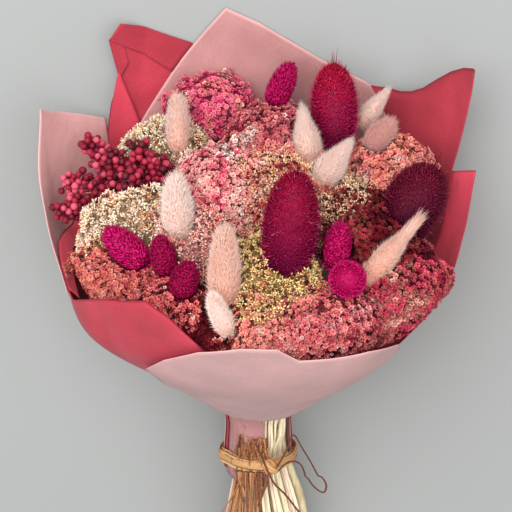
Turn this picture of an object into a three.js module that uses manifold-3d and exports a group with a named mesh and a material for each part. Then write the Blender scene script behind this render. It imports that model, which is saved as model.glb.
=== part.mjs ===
// A hand-tied bouquet of dyed dried flowers in layered florist's paper, laid down on its back.
// Each flower is drawn upright, in millimetres: X to the right, Y towards the back, Z up along the stems
// from the tie. The finished bouquet is then tipped back, so that it rests on its paper and its stem ends.
import * as THREE from "three";
import { ConvexGeometry } from "three/addons/geometries/ConvexGeometry.js";
import { mergeVertices } from "three/addons/utils/BufferGeometryUtils.js";
import Module from "manifold-3d";

const wasm = await Module();
wasm.setup();

// Driving dimensions
const STEMS_BELOW_TIE = 140;
const STEM_SPLAY = [1.25, 0.7]; // how much wider and deeper the bundle gets from the tie to the cut ends
const STEM_TWIST = THREE.MathUtils.degToRad(24); // the spiral of a hand-tied bunch
const LYING_TILT = THREE.MathUtils.degToRad(9.15); // the stems' slope once the bouquet lies down
const TABLE_BEHIND_TIE = 55.5; // from the tie's centre back to the table, across the stems
const GAP = 0.4; // left between neighbours that touch
const CLEARANCE = 0.6; // left round whatever passes through a bunch of florets

const PAPER_THICKNESS = 1;
const PAPER_PITCH = 1.5; // from one layer of paper to the next at the tie
const LAYER_FLARE = 1.4; // how much further a layer stands off the one inside it for every 100 mm up
const BACK_FLATNESS = 0.8; // the wrap's depth behind the stems, as a share of its half width
const FRONT_FLATNESS = 0.92;
// The inner paper's half width at heights above the tie: gathered, flared like a bowl, then nearly upright
const WRAP_PROFILE = [
  [-20, 22.5],
  [0, 20.5],
  [40, 24],
  [78, 58],
  [100, 84],
  [130, 109],
  [165, 122],
  [205, 131],
  [245, 137],
  [300, 142],
];

const HEIGHT_OF_DOME = 215;
const BUNCH_DEPTH = 19; // a bunch's middle lies this far below the dome's surface

const COLOURS = {
  pinkPaper: 0xdf9ea3,
  redPaper: 0xcc4258,
  teasel: 0x9c1650,
  magenta: 0xb30a66,
  tail: 0xecd2c0,
  berry: 0x9c2548,
  stem: 0xb08a5c,
  raffia: 0xd8b27a,
};

const vector = (p) => new THREE.Vector3(...p);

// A repeatable stream of random numbers from 0 to 1.
function seeded(seed) {
  let state = seed;
  return () => {
    state = (state * 1664525 + 1013904223) % 4294967296;
    return state / 4294967296;
  };
}

function linear(table, at) {
  const next = Math.max(1, table.findIndex(([x]) => x >= at));
  const last = at > table.at(-1)[0] ? table.length - 1 : next;
  const [x0, y0] = table[last - 1];
  const [x1, y1] = table[last];
  return y0 + ((y1 - y0) * (at - x0)) / (x1 - x0);
}

function solidOf(geometry) {
  const bare = geometry.clone();
  bare.deleteAttribute("normal");
  bare.deleteAttribute("uv");
  const merged = mergeVertices(bare, 1e-4);
  return new wasm.Manifold(
    new wasm.Mesh({
      numProp: 3,
      vertProperties: new Float32Array(merged.attributes.position.array),
      triVerts: new Uint32Array(merged.index.array),
    }),
  );
}

function geometryOf(solid) {
  const mesh = solid.getMesh();
  const geometry = new THREE.BufferGeometry();
  geometry.setAttribute("position", new THREE.BufferAttribute(mesh.vertProperties, 3));
  geometry.setIndex(new THREE.BufferAttribute(mesh.triVerts, 1));
  const flat = geometry.toNonIndexed();
  flat.computeVertexNormals();
  return flat;
}

const largestBody = (solid) => solid.decompose().sort((a, b) => b.volume() - a.volume())[0];

// The turn that carries +Z onto an axis.
const turnTo = (axis) =>
  new THREE.Quaternion().setFromUnitVectors(new THREE.Vector3(0, 0, 1), axis.clone().normalize());

// The paper wrap. Every sheet is cut from a layer of one bowl, a layer further out than the sheet inside it.
// Where a layer would pass through the table it is pressed flat on it.
const tableAt = (z) => TABLE_BEHIND_TIE + z * Math.tan(LYING_TILT);
const OUTERMOST_AT_BACK = PAPER_PITCH + PAPER_THICKNESS;
const PLEAT_DEGREES = 15;
const CREASE_HEIGHTS = [-20, 0, 40, 78, 100, 130, 165, 205, 245, 290];

function wrapPoint(degrees, z, layer, out) {
  const turn = THREE.MathUtils.degToRad(degrees);
  const radius = linear(WRAP_PROFILE, z);
  const roundness = THREE.MathUtils.clamp((z - 40) / 60, 0, 1);
  const depth = Math.cos(turn) > 0 ? BACK_FLATNESS : FRONT_FLATNESS;
  const squash = 1 + (depth - 1) * roundness;
  const off = layer * (PAPER_PITCH + LAYER_FLARE * Math.max(0, (z - 60) / 100)) + out;
  const x = (radius + off) * Math.sin(turn);
  const y = (radius * squash + off) * Math.cos(turn);
  return new THREE.Vector3(x, Math.min(y, tableAt(z) - OUTERMOST_AT_BACK + layer * PAPER_PITCH + out), z);
}

// A thin closed solid between two grids of points, with a wall round the edge.
function thinShell(columns, rows, innerAt, outerAt) {
  const width = columns + 1;
  const points = [];
  for (const side of [innerAt, outerAt])
    for (let j = 0; j <= rows; j++)
      for (let i = 0; i <= columns; i++) points.push(side(i / columns, j / rows));
  const inner = (i, j) => j * width + i;
  const outer = (i, j) => inner(i, j) + width * (rows + 1);
  const faces = [];
  const quad = (a, b, c, d) => faces.push(a, c, b, a, d, c);
  for (let j = 0; j < rows; j++)
    for (let i = 0; i < columns; i++) {
      quad(inner(i, j), inner(i, j + 1), inner(i + 1, j + 1), inner(i + 1, j));
      quad(outer(i, j), outer(i + 1, j), outer(i + 1, j + 1), outer(i, j + 1));
    }
  for (let i = 0; i < columns; i++) {
    quad(inner(i, 0), inner(i + 1, 0), outer(i + 1, 0), outer(i, 0));
    quad(inner(i + 1, rows), inner(i, rows), outer(i, rows), outer(i + 1, rows));
  }
  for (let j = 0; j < rows; j++) {
    quad(inner(0, j + 1), inner(0, j), outer(0, j), outer(0, j + 1));
    quad(inner(columns, j), inner(columns, j + 1), outer(columns, j + 1), outer(columns, j));
  }
  const geometry = new THREE.BufferGeometry().setFromPoints(points);
  geometry.setIndex(faces);
  return geometry;
}

// Sheets of paper. Angles go round the stems in degrees, 0 at the back and 90 at the right.
// rim gives the top edge's height at angles; left and right give the side edges' angle at heights.
const SHEETS = [
  {
    name: "pink_paper_back",
    colour: COLOURS.pinkPaper,
    layer: 0,
    foot: -12,
    left: [[-12, -192], [38, -188], [60, -165], [110, -100], [178, -60], [300, -58]],
    right: [[-12, 84], [45, 80], [110, 70], [205, 54], [300, 52]],
    rim: [[-60, 150], [-45, 178], [-38, 199], [-24, 238], [-18, 254], [-9, 281], [0, 268], [17, 244], [35, 225], [54, 203]],
  },
  {
    name: "red_paper_left",
    colour: COLOURS.redPaper,
    layer: 1,
    foot: -10,
    left: [[-10, -98], [50, -104], [108, -146], [150, -165], [300, -165]],
    right: [[-10, 8], [300, 10]],
    rim: [[-165, 150], [-156, 174], [-150, 183], [-135, 172], [-116, 151], [-103, 143], [-89, 162], [-60, 182], [-48, 192], [-42, 255], [-38, 271], [-17, 254], [10, 240]],
  },
  {
    name: "red_paper_right_back",
    colour: COLOURS.redPaper,
    layer: 1,
    foot: -10,
    left: [[-10, 18], [300, 20]],
    right: [[-10, 72], [150, 74], [190, 67], [300, 65]],
    rim: [[20, 232], [34, 226], [41, 226], [49, 234], [57, 250], [65, 257], [74, 250]],
  },
  {
    name: "red_paper_right_front",
    colour: COLOURS.redPaper,
    layer: 2,
    foot: 45,
    left: [[45, 70], [184, 61], [300, 60]],
    right: [[45, 140], [110, 150], [300, 150]],
    rim: [[60, 183], [77, 199], [81, 180], [86, 158], [95, 149], [110, 139], [128, 126], [150, 120]],
  },
  {
    name: "pink_paper_left",
    colour: COLOURS.pinkPaper,
    layer: 2,
    foot: -8,
    left: [[-8, -92], [142, -104], [300, -104]],
    right: [[-8, -50], [300, -44]],
    rim: [[-104, 142], [-98, 156], [-88, 182], [-81, 208], [-76, 233], [-66, 231], [-44, 209]],
  },
  {
    name: "pink_paper_front",
    colour: COLOURS.pinkPaper,
    layer: 3,
    foot: 50,
    left: [[50, 118], [300, 112]],
    right: [[50, 236], [110, 217], [300, 217]],
    rim: [[112, 118], [128, 126], [140, 142], [150, 146], [170, 149], [176, 160], [185, 161], [196, 155], [207, 141], [217, 123]],
  },
];

const atEnds = (table, at) => linear(table, THREE.MathUtils.clamp(at, table[0][0], table.at(-1)[0]));

// A thick blank whose edges are the sheet's outline.
function sheetOutline(sheet, grow, inner, outer) {
  // The outline's columns meet the rim where its corners are.
  const corners = sheet.rim.map(([degrees, z]) =>
    THREE.MathUtils.inverseLerp(atEnds(sheet.left, z), atEnds(sheet.right, z), degrees),
  );
  const shares = [0, ...corners.filter((share) => share > 0.02 && share < 0.98), 1];
  const edge = (out) => (column, v) => {
    const u = shares[Math.round(column * (shares.length - 1))];
    // The rim's height depends on the angle and the side edges' angle on the height, so passes settle both.
    let z = sheet.foot;
    let degrees = 0;
    for (let pass = 0; pass < 8; pass++) {
      degrees = THREE.MathUtils.lerp(atEnds(sheet.left, z) - grow, atEnds(sheet.right, z) + grow, u);
      z = THREE.MathUtils.lerp(sheet.foot - grow, atEnds(sheet.rim, degrees) + grow, v);
    }
    return wrapPoint(degrees, z, sheet.layer, out);
  };
  return solidOf(thinShell(shares.length - 1, 6, edge(inner), edge(outer)));
}

// One sheet, or with room for other things the block of air that the sheet and what lies outside it take up.
function sheetSolid(sheet, grow = 0, outside = 0) {
  const reach = [...sheet.left, ...sheet.right].map(([, degrees]) => degrees);
  const first = Math.floor(Math.min(...reach) / PLEAT_DEGREES - 0.2);
  const last = Math.ceil(Math.max(...reach) / PLEAT_DEGREES + 0.2);
  const lowest = CREASE_HEIGHTS.findLastIndex((z) => z <= sheet.foot - grow);
  const highest = CREASE_HEIGHTS.findIndex((z) => z > Math.max(...sheet.rim.map(([, z]) => z)) + grow);
  const columns = last - first;
  const rows = highest - lowest;
  const at = (out) => (u, v) => {
    const degrees = (first + Math.round(u * columns)) * PLEAT_DEGREES;
    const z = CREASE_HEIGHTS[lowest + Math.round(v * rows)];
    return wrapPoint(degrees, z, sheet.layer, out);
  };
  const outer = PAPER_THICKNESS + grow + outside;
  const layer = solidOf(thinShell(columns, rows, at(-grow), at(outer)));
  return layer.intersect(sheetOutline(sheet, grow, -8 - grow, outer + 8)).simplify(0.08);
}

// Heads on single stems. at is the head's middle, axis the way its tip points.
const HEADS = [
  { name: "teasel_1", kind: "teasel", at: [17, -55, 201], axis: [0.1, 0.02, 0.99], length: 75, width: 29 },
  { name: "teasel_2", kind: "teasel", at: [46, 43, 233], axis: [-0.02, 0.4, 0.9], length: 56, width: 26 },
  { name: "teasel_3", kind: "teasel", at: [92, -16, 198], axis: [0.46, 0.22, 0.86], length: 52, width: 32 },
  { name: "canary_grass_1", kind: "magenta", at: [-79, -47, 184], axis: [-0.72, 0.1, 0.69], length: 33, width: 19 },
  { name: "canary_grass_2", kind: "magenta", at: [-57, -58, 184], axis: [-0.13, -0.09, 0.99], length: 26, width: 15 },
  { name: "canary_grass_3", kind: "magenta", at: [-44.5, -73, 177], axis: [0.26, -0.11, 0.96], length: 24, width: 17 },
  { name: "canary_grass_4", kind: "magenta", at: [13, 62, 239], axis: [0.41, 0.4, 0.82], length: 31, width: 17 },
  { name: "globe_amaranth_1", kind: "magenta", at: [45, -54, 189], axis: [0.12, 0.02, 0.99], length: 30, width: 16 },
  { name: "globe_amaranth_2", kind: "magenta", at: [50, -76, 180], axis: [0.12, -0.7, 0.7], length: 21, width: 21 },
  { name: "bunny_tail_1", kind: "tail", at: [-49, -36, 204], axis: [-0.03, 0.09, 1], length: 42, width: 17 },
  { name: "bunny_tail_2", kind: "tail", at: [-21, -73, 183], axis: [0.02, 0.14, 0.99], length: 54, width: 17 },
  { name: "bunny_tail_3", kind: "tail", at: [-20, -97, 166], axis: [0.05, -0.6, 0.8], length: 26, width: 15 },
  { name: "bunny_tail_4", kind: "tail", at: [28, 18, 231], axis: [-0.13, 0.34, 0.93], length: 40, width: 15 },
  { name: "bunny_tail_5", kind: "tail", at: [46, -4, 221], axis: [0.56, 0.08, 0.82], length: 40, width: 16 },
  { name: "bunny_tail_6", kind: "tail", at: [78, 60, 228], axis: [0.75, 0.3, 0.6], length: 32, width: 14 },
  { name: "bunny_tail_7", kind: "tail", at: [77, 30, 221], axis: [0.7, 0, 0.7], length: 32, width: 16 },
  { name: "bunny_tail_8", kind: "tail", at: [76, -54, 187], axis: [0.61, 0.12, 0.78], length: 52, width: 15 },
  { name: "bunny_tail_9", kind: "tail", at: [-51, 30, 228], axis: [0, 0.38, 0.92], length: 36, width: 14 },
];

const KINDS = {
  // points on the head, how high the studs stand, one stud in every how many points, how far they lean to the tip
  teasel: { points: 178, raise: 5.2, every: 5, lean: 0.5, taper: 0.12, stem: 2.8, colour: COLOURS.teasel },
  magenta: { points: 62, raise: 1.6, every: 3, lean: 0.6, taper: 0.22, stem: 1.5, colour: COLOURS.magenta },
  tail: { points: 60, raise: 2.4, every: 3, lean: 1.2, taper: 0.16, stem: 1.4, colour: COLOURS.tail },
};

// Sprays of small flowers, each a dense domed bunch on one stem. at is where its middle meets the dome.
const BUNCHES = [
  { name: "statice_hot_pink", at: [-35, 68], radius: 28, colour: 0xe2447c },
  { name: "broom_cream_back", at: [-61, 40], radius: 24, colour: 0xe9d9a8 },
  { name: "statice_coral_back", at: [10, 38], radius: 28, colour: 0xd9727a },
  { name: "statice_raspberry", at: [-25, 2], radius: 27, colour: 0xb8335c },
  { name: "broom_cream_middle", at: [13, -2], radius: 27, colour: 0xe3d29b },
  { name: "broom_dusty_pink", at: [-38, -32], radius: 26, colour: 0xd9949a },
  { name: "broom_cream_left", at: [-78, -12], radius: 28, colour: 0xecdcae },
  { name: "statice_salmon_left", at: [-92, -42], radius: 26, colour: 0xd97c7c },
  { name: "statice_salmon_low", at: [-60, -68], radius: 25, colour: 0xd87672 },
  { name: "statice_crimson", at: [-32, -76], radius: 22, colour: 0x8e2340 },
  { name: "broom_green_cream", at: [4, -56], radius: 27, colour: 0xcdbd80 },
  { name: "statice_salmon_front", at: [2, -84], radius: 24, colour: 0xde8580 },
  { name: "statice_pink_front", at: [38, -82], radius: 27, colour: 0xd86c78 },
  { name: "statice_crimson_right", at: [88, -44], radius: 25, colour: 0xc43a58 },
  { name: "broom_peach", at: [46, 2], radius: 28, colour: 0xe2bd98 },
  { name: "statice_olive", at: [60, -47], radius: 30, colour: 0x7d4a3c },
  { name: "statice_coral_right", at: [88, 24], radius: 31, colour: 0xe0807a },
];
const BUNCH_STEM = 2.3;
const BUNCH_POINTS = 77;
const FLORET_RAISE = 5;
const FLORET_EVERY = 3;

// Berry sprays: a stem to the fork, then arms that carry berries on alternate sides.
const BERRY_RADIUS = 3.1;
const BERRY_STEP = 7;
const BERRY_SPRAYS = [
  {
    name: "berry_spray_1",
    fork: [-88, 24, 182],
    arms: [[-110, 50, 226], [-122, 24, 206], [-126, -2, 184]],
  },
  {
    name: "berry_spray_2",
    fork: [-70, 10, 186],
    arms: [[-94, 16, 214], [-76, 20, 220], [-106, 0, 196]],
  },
];
const TWIG_RADIUS = 0.9;

// The surface that the flowers' tops make: low at the front rim, high at the back.
const domeHeight = (x, y) => HEIGHT_OF_DOME + 0.415 * y - 0.00285 * y * y - 0.00227 * x * x;

// Points spread over a sphere on the spirals that real flower heads grow in, joined by triangles.
function spiralSphere(count) {
  const points = [];
  const golden = Math.PI * (3 - Math.sqrt(5));
  for (let i = 0; i < count; i++) {
    const z = 1 - (2 * i + 1) / count;
    const ring = Math.sqrt(1 - z * z);
    points.push(new THREE.Vector3(ring * Math.cos(golden * i), ring * Math.sin(golden * i), z));
  }
  const hull = new ConvexGeometry(points).getAttribute("position");
  const key = (x, y, z) => [x, y, z].map((c) => c.toFixed(4)).join();
  const indexOf = new Map(points.map((p, i) => [key(p.x, p.y, p.z), i]));
  const faces = [];
  for (let i = 0; i < hull.count; i++) faces.push(indexOf.get(key(hull.getX(i), hull.getY(i), hull.getZ(i))));
  return { points, faces };
}

// An egg-shaped head along +Z, raised into a stud at one in every so many of its points.
function studdedHead({ points: count, length, width, raise, every, lean, taper }, random) {
  const { points, faces } = spiralSphere(count);
  const moved = points.map((p, i) => {
    const radius = (width / 2) * (1 - taper * p.z);
    const place = new THREE.Vector3(p.x * radius, p.y * radius, (p.z * length) / 2);
    const out = new THREE.Vector3(p.x / width, p.y / width, p.z / length).normalize();
    out.z += lean * (1 - Math.abs(p.z));
    const height = i % every === 0 && p.z > -0.8 ? raise * (0.8 + 0.4 * random()) : 0;
    return place.addScaledVector(out, height);
  });
  const geometry = new THREE.BufferGeometry().setFromPoints(moved);
  geometry.setIndex(faces);
  return geometry;
}

// A closed tube through points, with its own radius at each.
function tube(points, radii, sides) {
  const tangents = points.map((p, i) => {
    const before = points[Math.max(0, i - 1)];
    const after = points[Math.min(points.length - 1, i + 1)];
    return after.clone().sub(before).normalize();
  });
  const across = new THREE.Vector3(0.31, 0.9, 0.3).cross(tangents[0]).normalize();
  const vertices = [];
  const faces = [];
  points.forEach((p, i) => {
    // Each ring's frame is the last one's, turned as little as the bend allows.
    if (i > 0) across.applyQuaternion(new THREE.Quaternion().setFromUnitVectors(tangents[i - 1], tangents[i]));
    for (let k = 0; k < sides; k++) {
      const spoke = across.clone().applyAxisAngle(tangents[i], (2 * Math.PI * k) / sides);
      vertices.push(p.clone().addScaledVector(spoke, radii[i]));
      const next = (k + 1) % sides;
      if (i > 0) {
        const [a, b, c, d] = [(i - 1) * sides + k, (i - 1) * sides + next, i * sides + next, i * sides + k];
        faces.push(a, b, c, a, c, d);
      }
    }
  });
  const lastRing = (points.length - 1) * sides;
  for (let k = 1; k < sides - 1; k++) faces.push(0, k + 1, k, lastRing, lastRing + k, lastRing + k + 1);
  const geometry = new THREE.BufferGeometry().setFromPoints(vertices);
  geometry.setIndex(faces);
  return geometry;
}

// Where each stem joins its flower, and which way it grows there.
const plants = [
  ...HEADS.map((head) => {
    const axis = vector(head.axis).normalize();
    const kind = KINDS[head.kind];
    return {
      ...head,
      radius: kind.stem,
      axis,
      foot: vector(head.at).addScaledVector(axis, -head.length / 2),
      bulk: { middle: vector(head.at), axis, half: head.length / 2 + 3, wide: head.width / 2 + kind.raise },
    };
  }),
  ...BUNCHES.map((bunch) => {
    const [x, y] = bunch.at;
    const middle = new THREE.Vector3(x, y, domeHeight(x, y) - BUNCH_DEPTH);
    const axis = middle.clone().normalize();
    const foot = middle.clone().addScaledVector(axis, -bunch.radius * 0.8);
    return { ...bunch, kind: "bunch", middle, axis, foot, radius: BUNCH_STEM, size: bunch.radius };
  }),
  ...BERRY_SPRAYS.map((spray) => {
    const foot = vector(spray.fork);
    return { ...spray, kind: "berries", foot, axis: foot.clone().normalize(), radius: 1.7 };
  }),
];

// The stems' routes. They start in order of their flowers' directions, and are then pushed apart level by
// level until none touches another, as stems settle when a hand closes round them.
const LEVELS = [0, 20, 40, 62, 92, 128, 168];
const CROWDING = 0.62; // how closely the flowers' directions are drawn together at the tie
const BUNDLE_INSIDE = 19.8;
const WRAP_CLEARANCE = 1.2;

// How far from the axis a stem of this radius can be without passing through the paper.
function roomInWrap(x, y, z, radius) {
  const paper = wrapPoint(THREE.MathUtils.radToDeg(Math.atan2(x, y)), z, 0, 0);
  return Math.hypot(paper.x, paper.y) * 0.985 - radius - WRAP_CLEARANCE;
}

function settleStems() {
  const turnIn = 10;
  plants.forEach((plant) => {
    const last = plant.foot.clone().addScaledVector(plant.axis, -turnIn);
    const direction = new THREE.Vector2(last.x, last.y).multiplyScalar(1 / last.z);
    const start = direction.clone().multiplyScalar(30 * CROWDING);
    plant.last = last;
    plant.levels = LEVELS.filter((z) => z < last.z - 8);
    plant.route = plant.levels.map((z) => {
      const share = z / last.z;
      return new THREE.Vector2(
        THREE.MathUtils.lerp(start.x, last.x, share),
        THREE.MathUtils.lerp(start.y, last.y, share),
      );
    });
  });
  // Two stems are straight between levels, so where they come closest both ends of each are pushed.
  const pushApart = (a, b, k, apart) => {
    const low = b[k].clone().sub(a[k]);
    const high = (b[k + 1] ?? b[k]).clone().sub(a[k + 1] ?? a[k]);
    const change = high.clone().sub(low);
    const t = THREE.MathUtils.clamp(-low.dot(change) / Math.max(change.lengthSq(), 1e-6), 0, 1);
    const between = low.lerp(high, t);
    const distance = Math.max(between.length(), 0.01);
    if (distance >= apart) return;
    between.multiplyScalar((apart - distance) / distance / 2 / (t * t + (1 - t) * (1 - t)));
    a[k].addScaledVector(between, t - 1);
    b[k].addScaledVector(between, 1 - t);
    if (a[k + 1]) a[k + 1].addScaledVector(between, -t);
    if (b[k + 1]) b[k + 1].addScaledVector(between, t);
  };
  const passes = 2600;
  for (let pass = 0; pass < passes; pass++) {
    const smoothing = 0.18 * Math.max(0, 1 - (1.4 * pass) / passes);
    LEVELS.forEach((z, k) => {
      const here = plants.filter((plant) => k < plant.route.length);
      here.forEach((a, i) =>
        here.slice(i + 1).forEach((b) => pushApart(a.route, b.route, k, (a.radius + b.radius) * 1.1 + GAP)),
      );
    });
    plants.forEach((plant) => {
      const route = plant.route;
      for (let k = 1; k < route.length; k++) {
        const next = route[k + 1] ?? new THREE.Vector2(plant.last.x, plant.last.y);
        const before = route[k - 1];
        const span = (next === route[k + 1] ? LEVELS[k + 1] : plant.last.z) - LEVELS[k - 1];
        const share = (LEVELS[k] - LEVELS[k - 1]) / span;
        route[k].lerp(before.clone().lerp(next, share), smoothing);
      }
      route[0].multiplyScalar(0.999);
      route[0].clampLength(0, BUNDLE_INSIDE - plant.radius);
      for (let k = 1; k < route.length; k++) {
        const { x, y } = route[k];
        route[k].clampLength(0, roomInWrap(x, y, LEVELS[k], plant.radius));
      }
    });
  }
}
settleStems();

// Below the tie the bundle opens again with a slight spiral, and its lowest stems meet the table.
function stemPath(plant) {
  const tie = plant.route[0];
  const below = [1, 0.42].map((share) => {
    const [wider, deeper] = STEM_SPLAY.map((splay) => 1 + splay * share ** 0.85);
    const z = -STEMS_BELOW_TIE * share;
    const point = tie.clone().rotateAround(new THREE.Vector2(), STEM_TWIST * share);
    return new THREE.Vector3(point.x * wider, Math.min(point.y * deeper, tableAt(z) - plant.radius), z);
  });
  const above = plant.route.map((p, k) => new THREE.Vector3(p.x, p.y, LEVELS[k]));
  const sunk = plant.kind === "teasel" ? -GAP : 2.5;
  return [...below, ...above, plant.last, plant.foot.clone().addScaledVector(plant.axis, sunk)];
}
plants.forEach((plant) => (plant.line = stemPath(plant)));

const even = (points, radius) => points.map(() => radius);
// A thin stem is square in section, as thick across its flats and corners on average as the round stem.
const stemGeometry = (plant) =>
  plant.radius > 2.5
    ? tube(plant.line, even(plant.line, plant.radius), 5)
    : tube(plant.line, even(plant.line, plant.radius * 1.13), 4);

// The room that a stem's upper part needs where it passes through a bunch.
function stemRoom(plant) {
  const upper = plant.line.slice(plant.line.findIndex((p) => p.z > 90) - 1);
  return solidOf(tube(upper, even(upper, 2 * (plant.radius + CLEARANCE)), 3));
}

// What a bunch must leave room for: other plants' stems and heads, berries and the paper.
const obstacles = [];
function addObstacle(owner, solid) {
  const { min, max } = solid.boundingBox();
  obstacles.push({ owner, solid, box: new THREE.Box3(vector(min), vector(max)) });
}

const nodes = [];
function addNode(name, solid, colour, roughness = 0.9) {
  const material = new THREE.MeshStandardMaterial({ color: colour, roughness, metalness: 0 });
  const mesh = new THREE.Mesh(geometryOf(solid), material);
  mesh.name = name;
  nodes.push(mesh);
}

for (const sheet of SHEETS) {
  addNode(sheet.name, sheetSolid(sheet), sheet.colour, 0.85);
  addObstacle(sheet.name, sheetSolid(sheet, CLEARANCE).add(sheetSolid(sheet, CLEARANCE, 70)));
}

plants.forEach((plant) => addObstacle(plant.name, stemRoom(plant)));

// Teasels, grasses and globe amaranths. A teasel's dyed head sits on a bare stem; the others are dyed whole.
const random = seeded(7);
for (const plant of plants.filter((p) => p.bulk)) {
  const kind = KINDS[plant.kind];
  const head = studdedHead({ ...kind, length: plant.length, width: plant.width }, random);
  head.applyQuaternion(turnTo(plant.axis));
  head.translate(...plant.at);
  const headSolid = solidOf(head);
  const stem = solidOf(stemGeometry(plant));
  if (plant.kind === "teasel") {
    addNode(plant.name + "_head", headSolid, kind.colour);
    addNode(plant.name + "_stem", stem, COLOURS.stem);
  } else addNode(plant.name, headSolid.add(stem), kind.colour);
  addObstacle(plant.name, roomRound(headSolid, plant.at, 1 + (5 * CLEARANCE) / plant.width));
}

// The plain hull of a head, a little larger than the head.
function roomRound(solid, middle, scale) {
  const [x, y, z] = middle;
  return solid.hull().simplify(0.9).translate([-x, -y, -z]).scale(scale).translate([x, y, z]);
}

// Berries on forked twigs. Each arm is one tube that swells into a berry at every step, to one side and
// then another of its line.
function berryArm(fork, tip, turn) {
  const along = tip.clone().sub(fork);
  const count = Math.floor((along.length() - 8) / BERRY_STEP);
  along.normalize();
  const side = new THREE.Vector3(0.3, 1, 0.2).cross(along).normalize();
  const points = [fork.clone().addScaledVector(along, -2)];
  const radii = [TWIG_RADIUS];
  for (let i = 0; i < count; i++) {
    const sag = Math.sin((Math.PI * (i + 0.5)) / count) * 2.5;
    const middle = fork.clone().addScaledVector(along, 10 + i * BERRY_STEP).addScaledVector(side, sag);
    const spoke = side.clone().applyAxisAngle(along, turn + i * 2.4);
    middle.addScaledVector(spoke, BERRY_RADIUS * 0.8);
    for (const [share, radius] of [[-0.98, TWIG_RADIUS], [-0.4, BERRY_RADIUS], [0.4, BERRY_RADIUS]]) {
      points.push(middle.clone().addScaledVector(along, share * BERRY_RADIUS));
      radii.push(radius);
    }
  }
  points.push(points.at(-1).clone().addScaledVector(along, BERRY_RADIUS * 0.5));
  radii.push(TWIG_RADIUS);
  return tube(points, radii, 5);
}

for (const plant of plants.filter((p) => p.kind === "berries")) {
  const fork = vector(plant.fork);
  let spray = solidOf(stemGeometry(plant));
  for (const [a, arm] of plant.arms.entries()) {
    const twig = solidOf(berryArm(fork, vector(arm), a));
    spray = spray.add(twig);
    addObstacle(plant.name, roomRound(twig, fork.clone().lerp(vector(arm), 0.5), 1.18));
  }
  addNode(plant.name, largestBody(spray), COLOURS.berry, 0.6);
}

// Bunches of small flowers, raised into florets, parted from their neighbours by a flat cut between them
// and hollowed wherever a stem, a head, a berry or the paper passes.
const bunches = plants.filter((p) => p.kind === "bunch");
for (const plant of bunches) {
  const florets = studdedHead(
    { points: BUNCH_POINTS, length: plant.size * 1.75, width: plant.size * 2, raise: FLORET_RAISE, every: FLORET_EVERY, lean: 0, taper: -0.12 },
    random,
  );
  florets.applyQuaternion(turnTo(plant.axis));
  florets.translate(plant.middle.x, plant.middle.y, plant.middle.z);
  let solid = solidOf(florets);
  for (const other of bunches) {
    const away = plant.middle.clone().sub(other.middle);
    const distance = away.length();
    if (other === plant || distance > plant.size + other.size + 2 * FLORET_RAISE) continue;
    away.normalize();
    const share = 0.5 + (other.size ** 2 - plant.size ** 2) / (2 * distance ** 2);
    const cut = other.middle.dot(away) + distance * share + GAP;
    solid = solid.trimByPlane([away.x, away.y, away.z], cut);
  }
  solid = solid.add(solidOf(stemGeometry(plant)));
  const { min, max } = solid.boundingBox();
  const reach = new THREE.Box3(vector(min), vector(max));
  for (const obstacle of obstacles) {
    if (obstacle.owner !== plant.name && obstacle.box.intersectsBox(reach)) solid = solid.subtract(obstacle.solid);
  }
  addNode(plant.name, largestBody(largestBody(solid).simplify(0.5)), plant.colour);
}

// The raffia: three turns wound round the paper's neck, a knot in front, two tails and a loop at the right.
const RAFFIA_RADIUS = 1.6;
const RAFFIA_TURNS = 3;
const RAFFIA_RISE = 3.7; // from one turn to the next
// How far the strand's middle is outside the inner paper, over the layers that the neck has at each angle
const OVER_NECK = [[-196, 3.4], [-110, 3.4], [-98, 6.4], [-46, 6.4], [-34, 4.9], [74, 4.9], [92, 2.6], [150, 2.6], [164, 3.4]];

function raffiaStrand() {
  const segments = 17 * RAFFIA_TURNS;
  const points = [];
  for (let i = 0; i <= segments; i++) {
    const turns = (RAFFIA_TURNS * i) / segments;
    const z = (turns - RAFFIA_TURNS / 2) * RAFFIA_RISE;
    const degrees = ((turns * 360) % 360) - 196;
    const radius = linear(WRAP_PROFILE, z) + linear(OVER_NECK, Math.max(degrees, -196));
    const turn = THREE.MathUtils.degToRad(degrees);
    points.push(new THREE.Vector3(radius * Math.sin(turn), radius * Math.cos(turn), z));
  }
  return tube(points, even(points, RAFFIA_RADIUS), 4);
}

function curvedStrand(path, radius, steps) {
  const points = new THREE.CatmullRomCurve3(path.map(vector)).getPoints(steps);
  return solidOf(tube(points, even(points, radius), 4));
}

const knot = new THREE.IcosahedronGeometry(1.1, 0);
knot.scale(6, 3.6, 8.4);
knot.translate(7, -25.2, 0);
const raffia = solidOf(raffiaStrand())
  .add(solidOf(knot))
  .add(curvedStrand([[6, -26, -4], [-3, -29, -16], [-7, -31, -36]], 1.2, 4))
  .add(curvedStrand([[8, -26, -4], [15, -29, -14], [20, -31, -28]], 1.2, 4))
  .add(curvedStrand([[9, -25, 5], [24, -22, 18], [37, -18, 4], [42, -17, -14], [36, -18, -20], [24, -22, -8], [10, -26, 0]], 1, 12));
addNode("raffia_tie", largestBody(raffia), COLOURS.raffia);

const bouquet = new THREE.Group();
bouquet.add(...nodes);
bouquet.rotation.x = -(Math.PI / 2 - LYING_TILT);
bouquet.updateMatrixWorld(true);

// The origin is on the table, under the middle of the bouquet.
const reach = new THREE.Box3().setFromObject(bouquet, true);
const centre = reach.getCenter(new THREE.Vector3());
bouquet.position.set(-centre.x, -centre.y, -reach.min.z);

const root = new THREE.Group();
root.add(bouquet);
export default root;
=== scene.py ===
# A hand-tied bouquet of dyed dried flowers in layered florist's paper, laid down on its back.
import bpy
import numpy as np
from mathutils import Matrix


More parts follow.
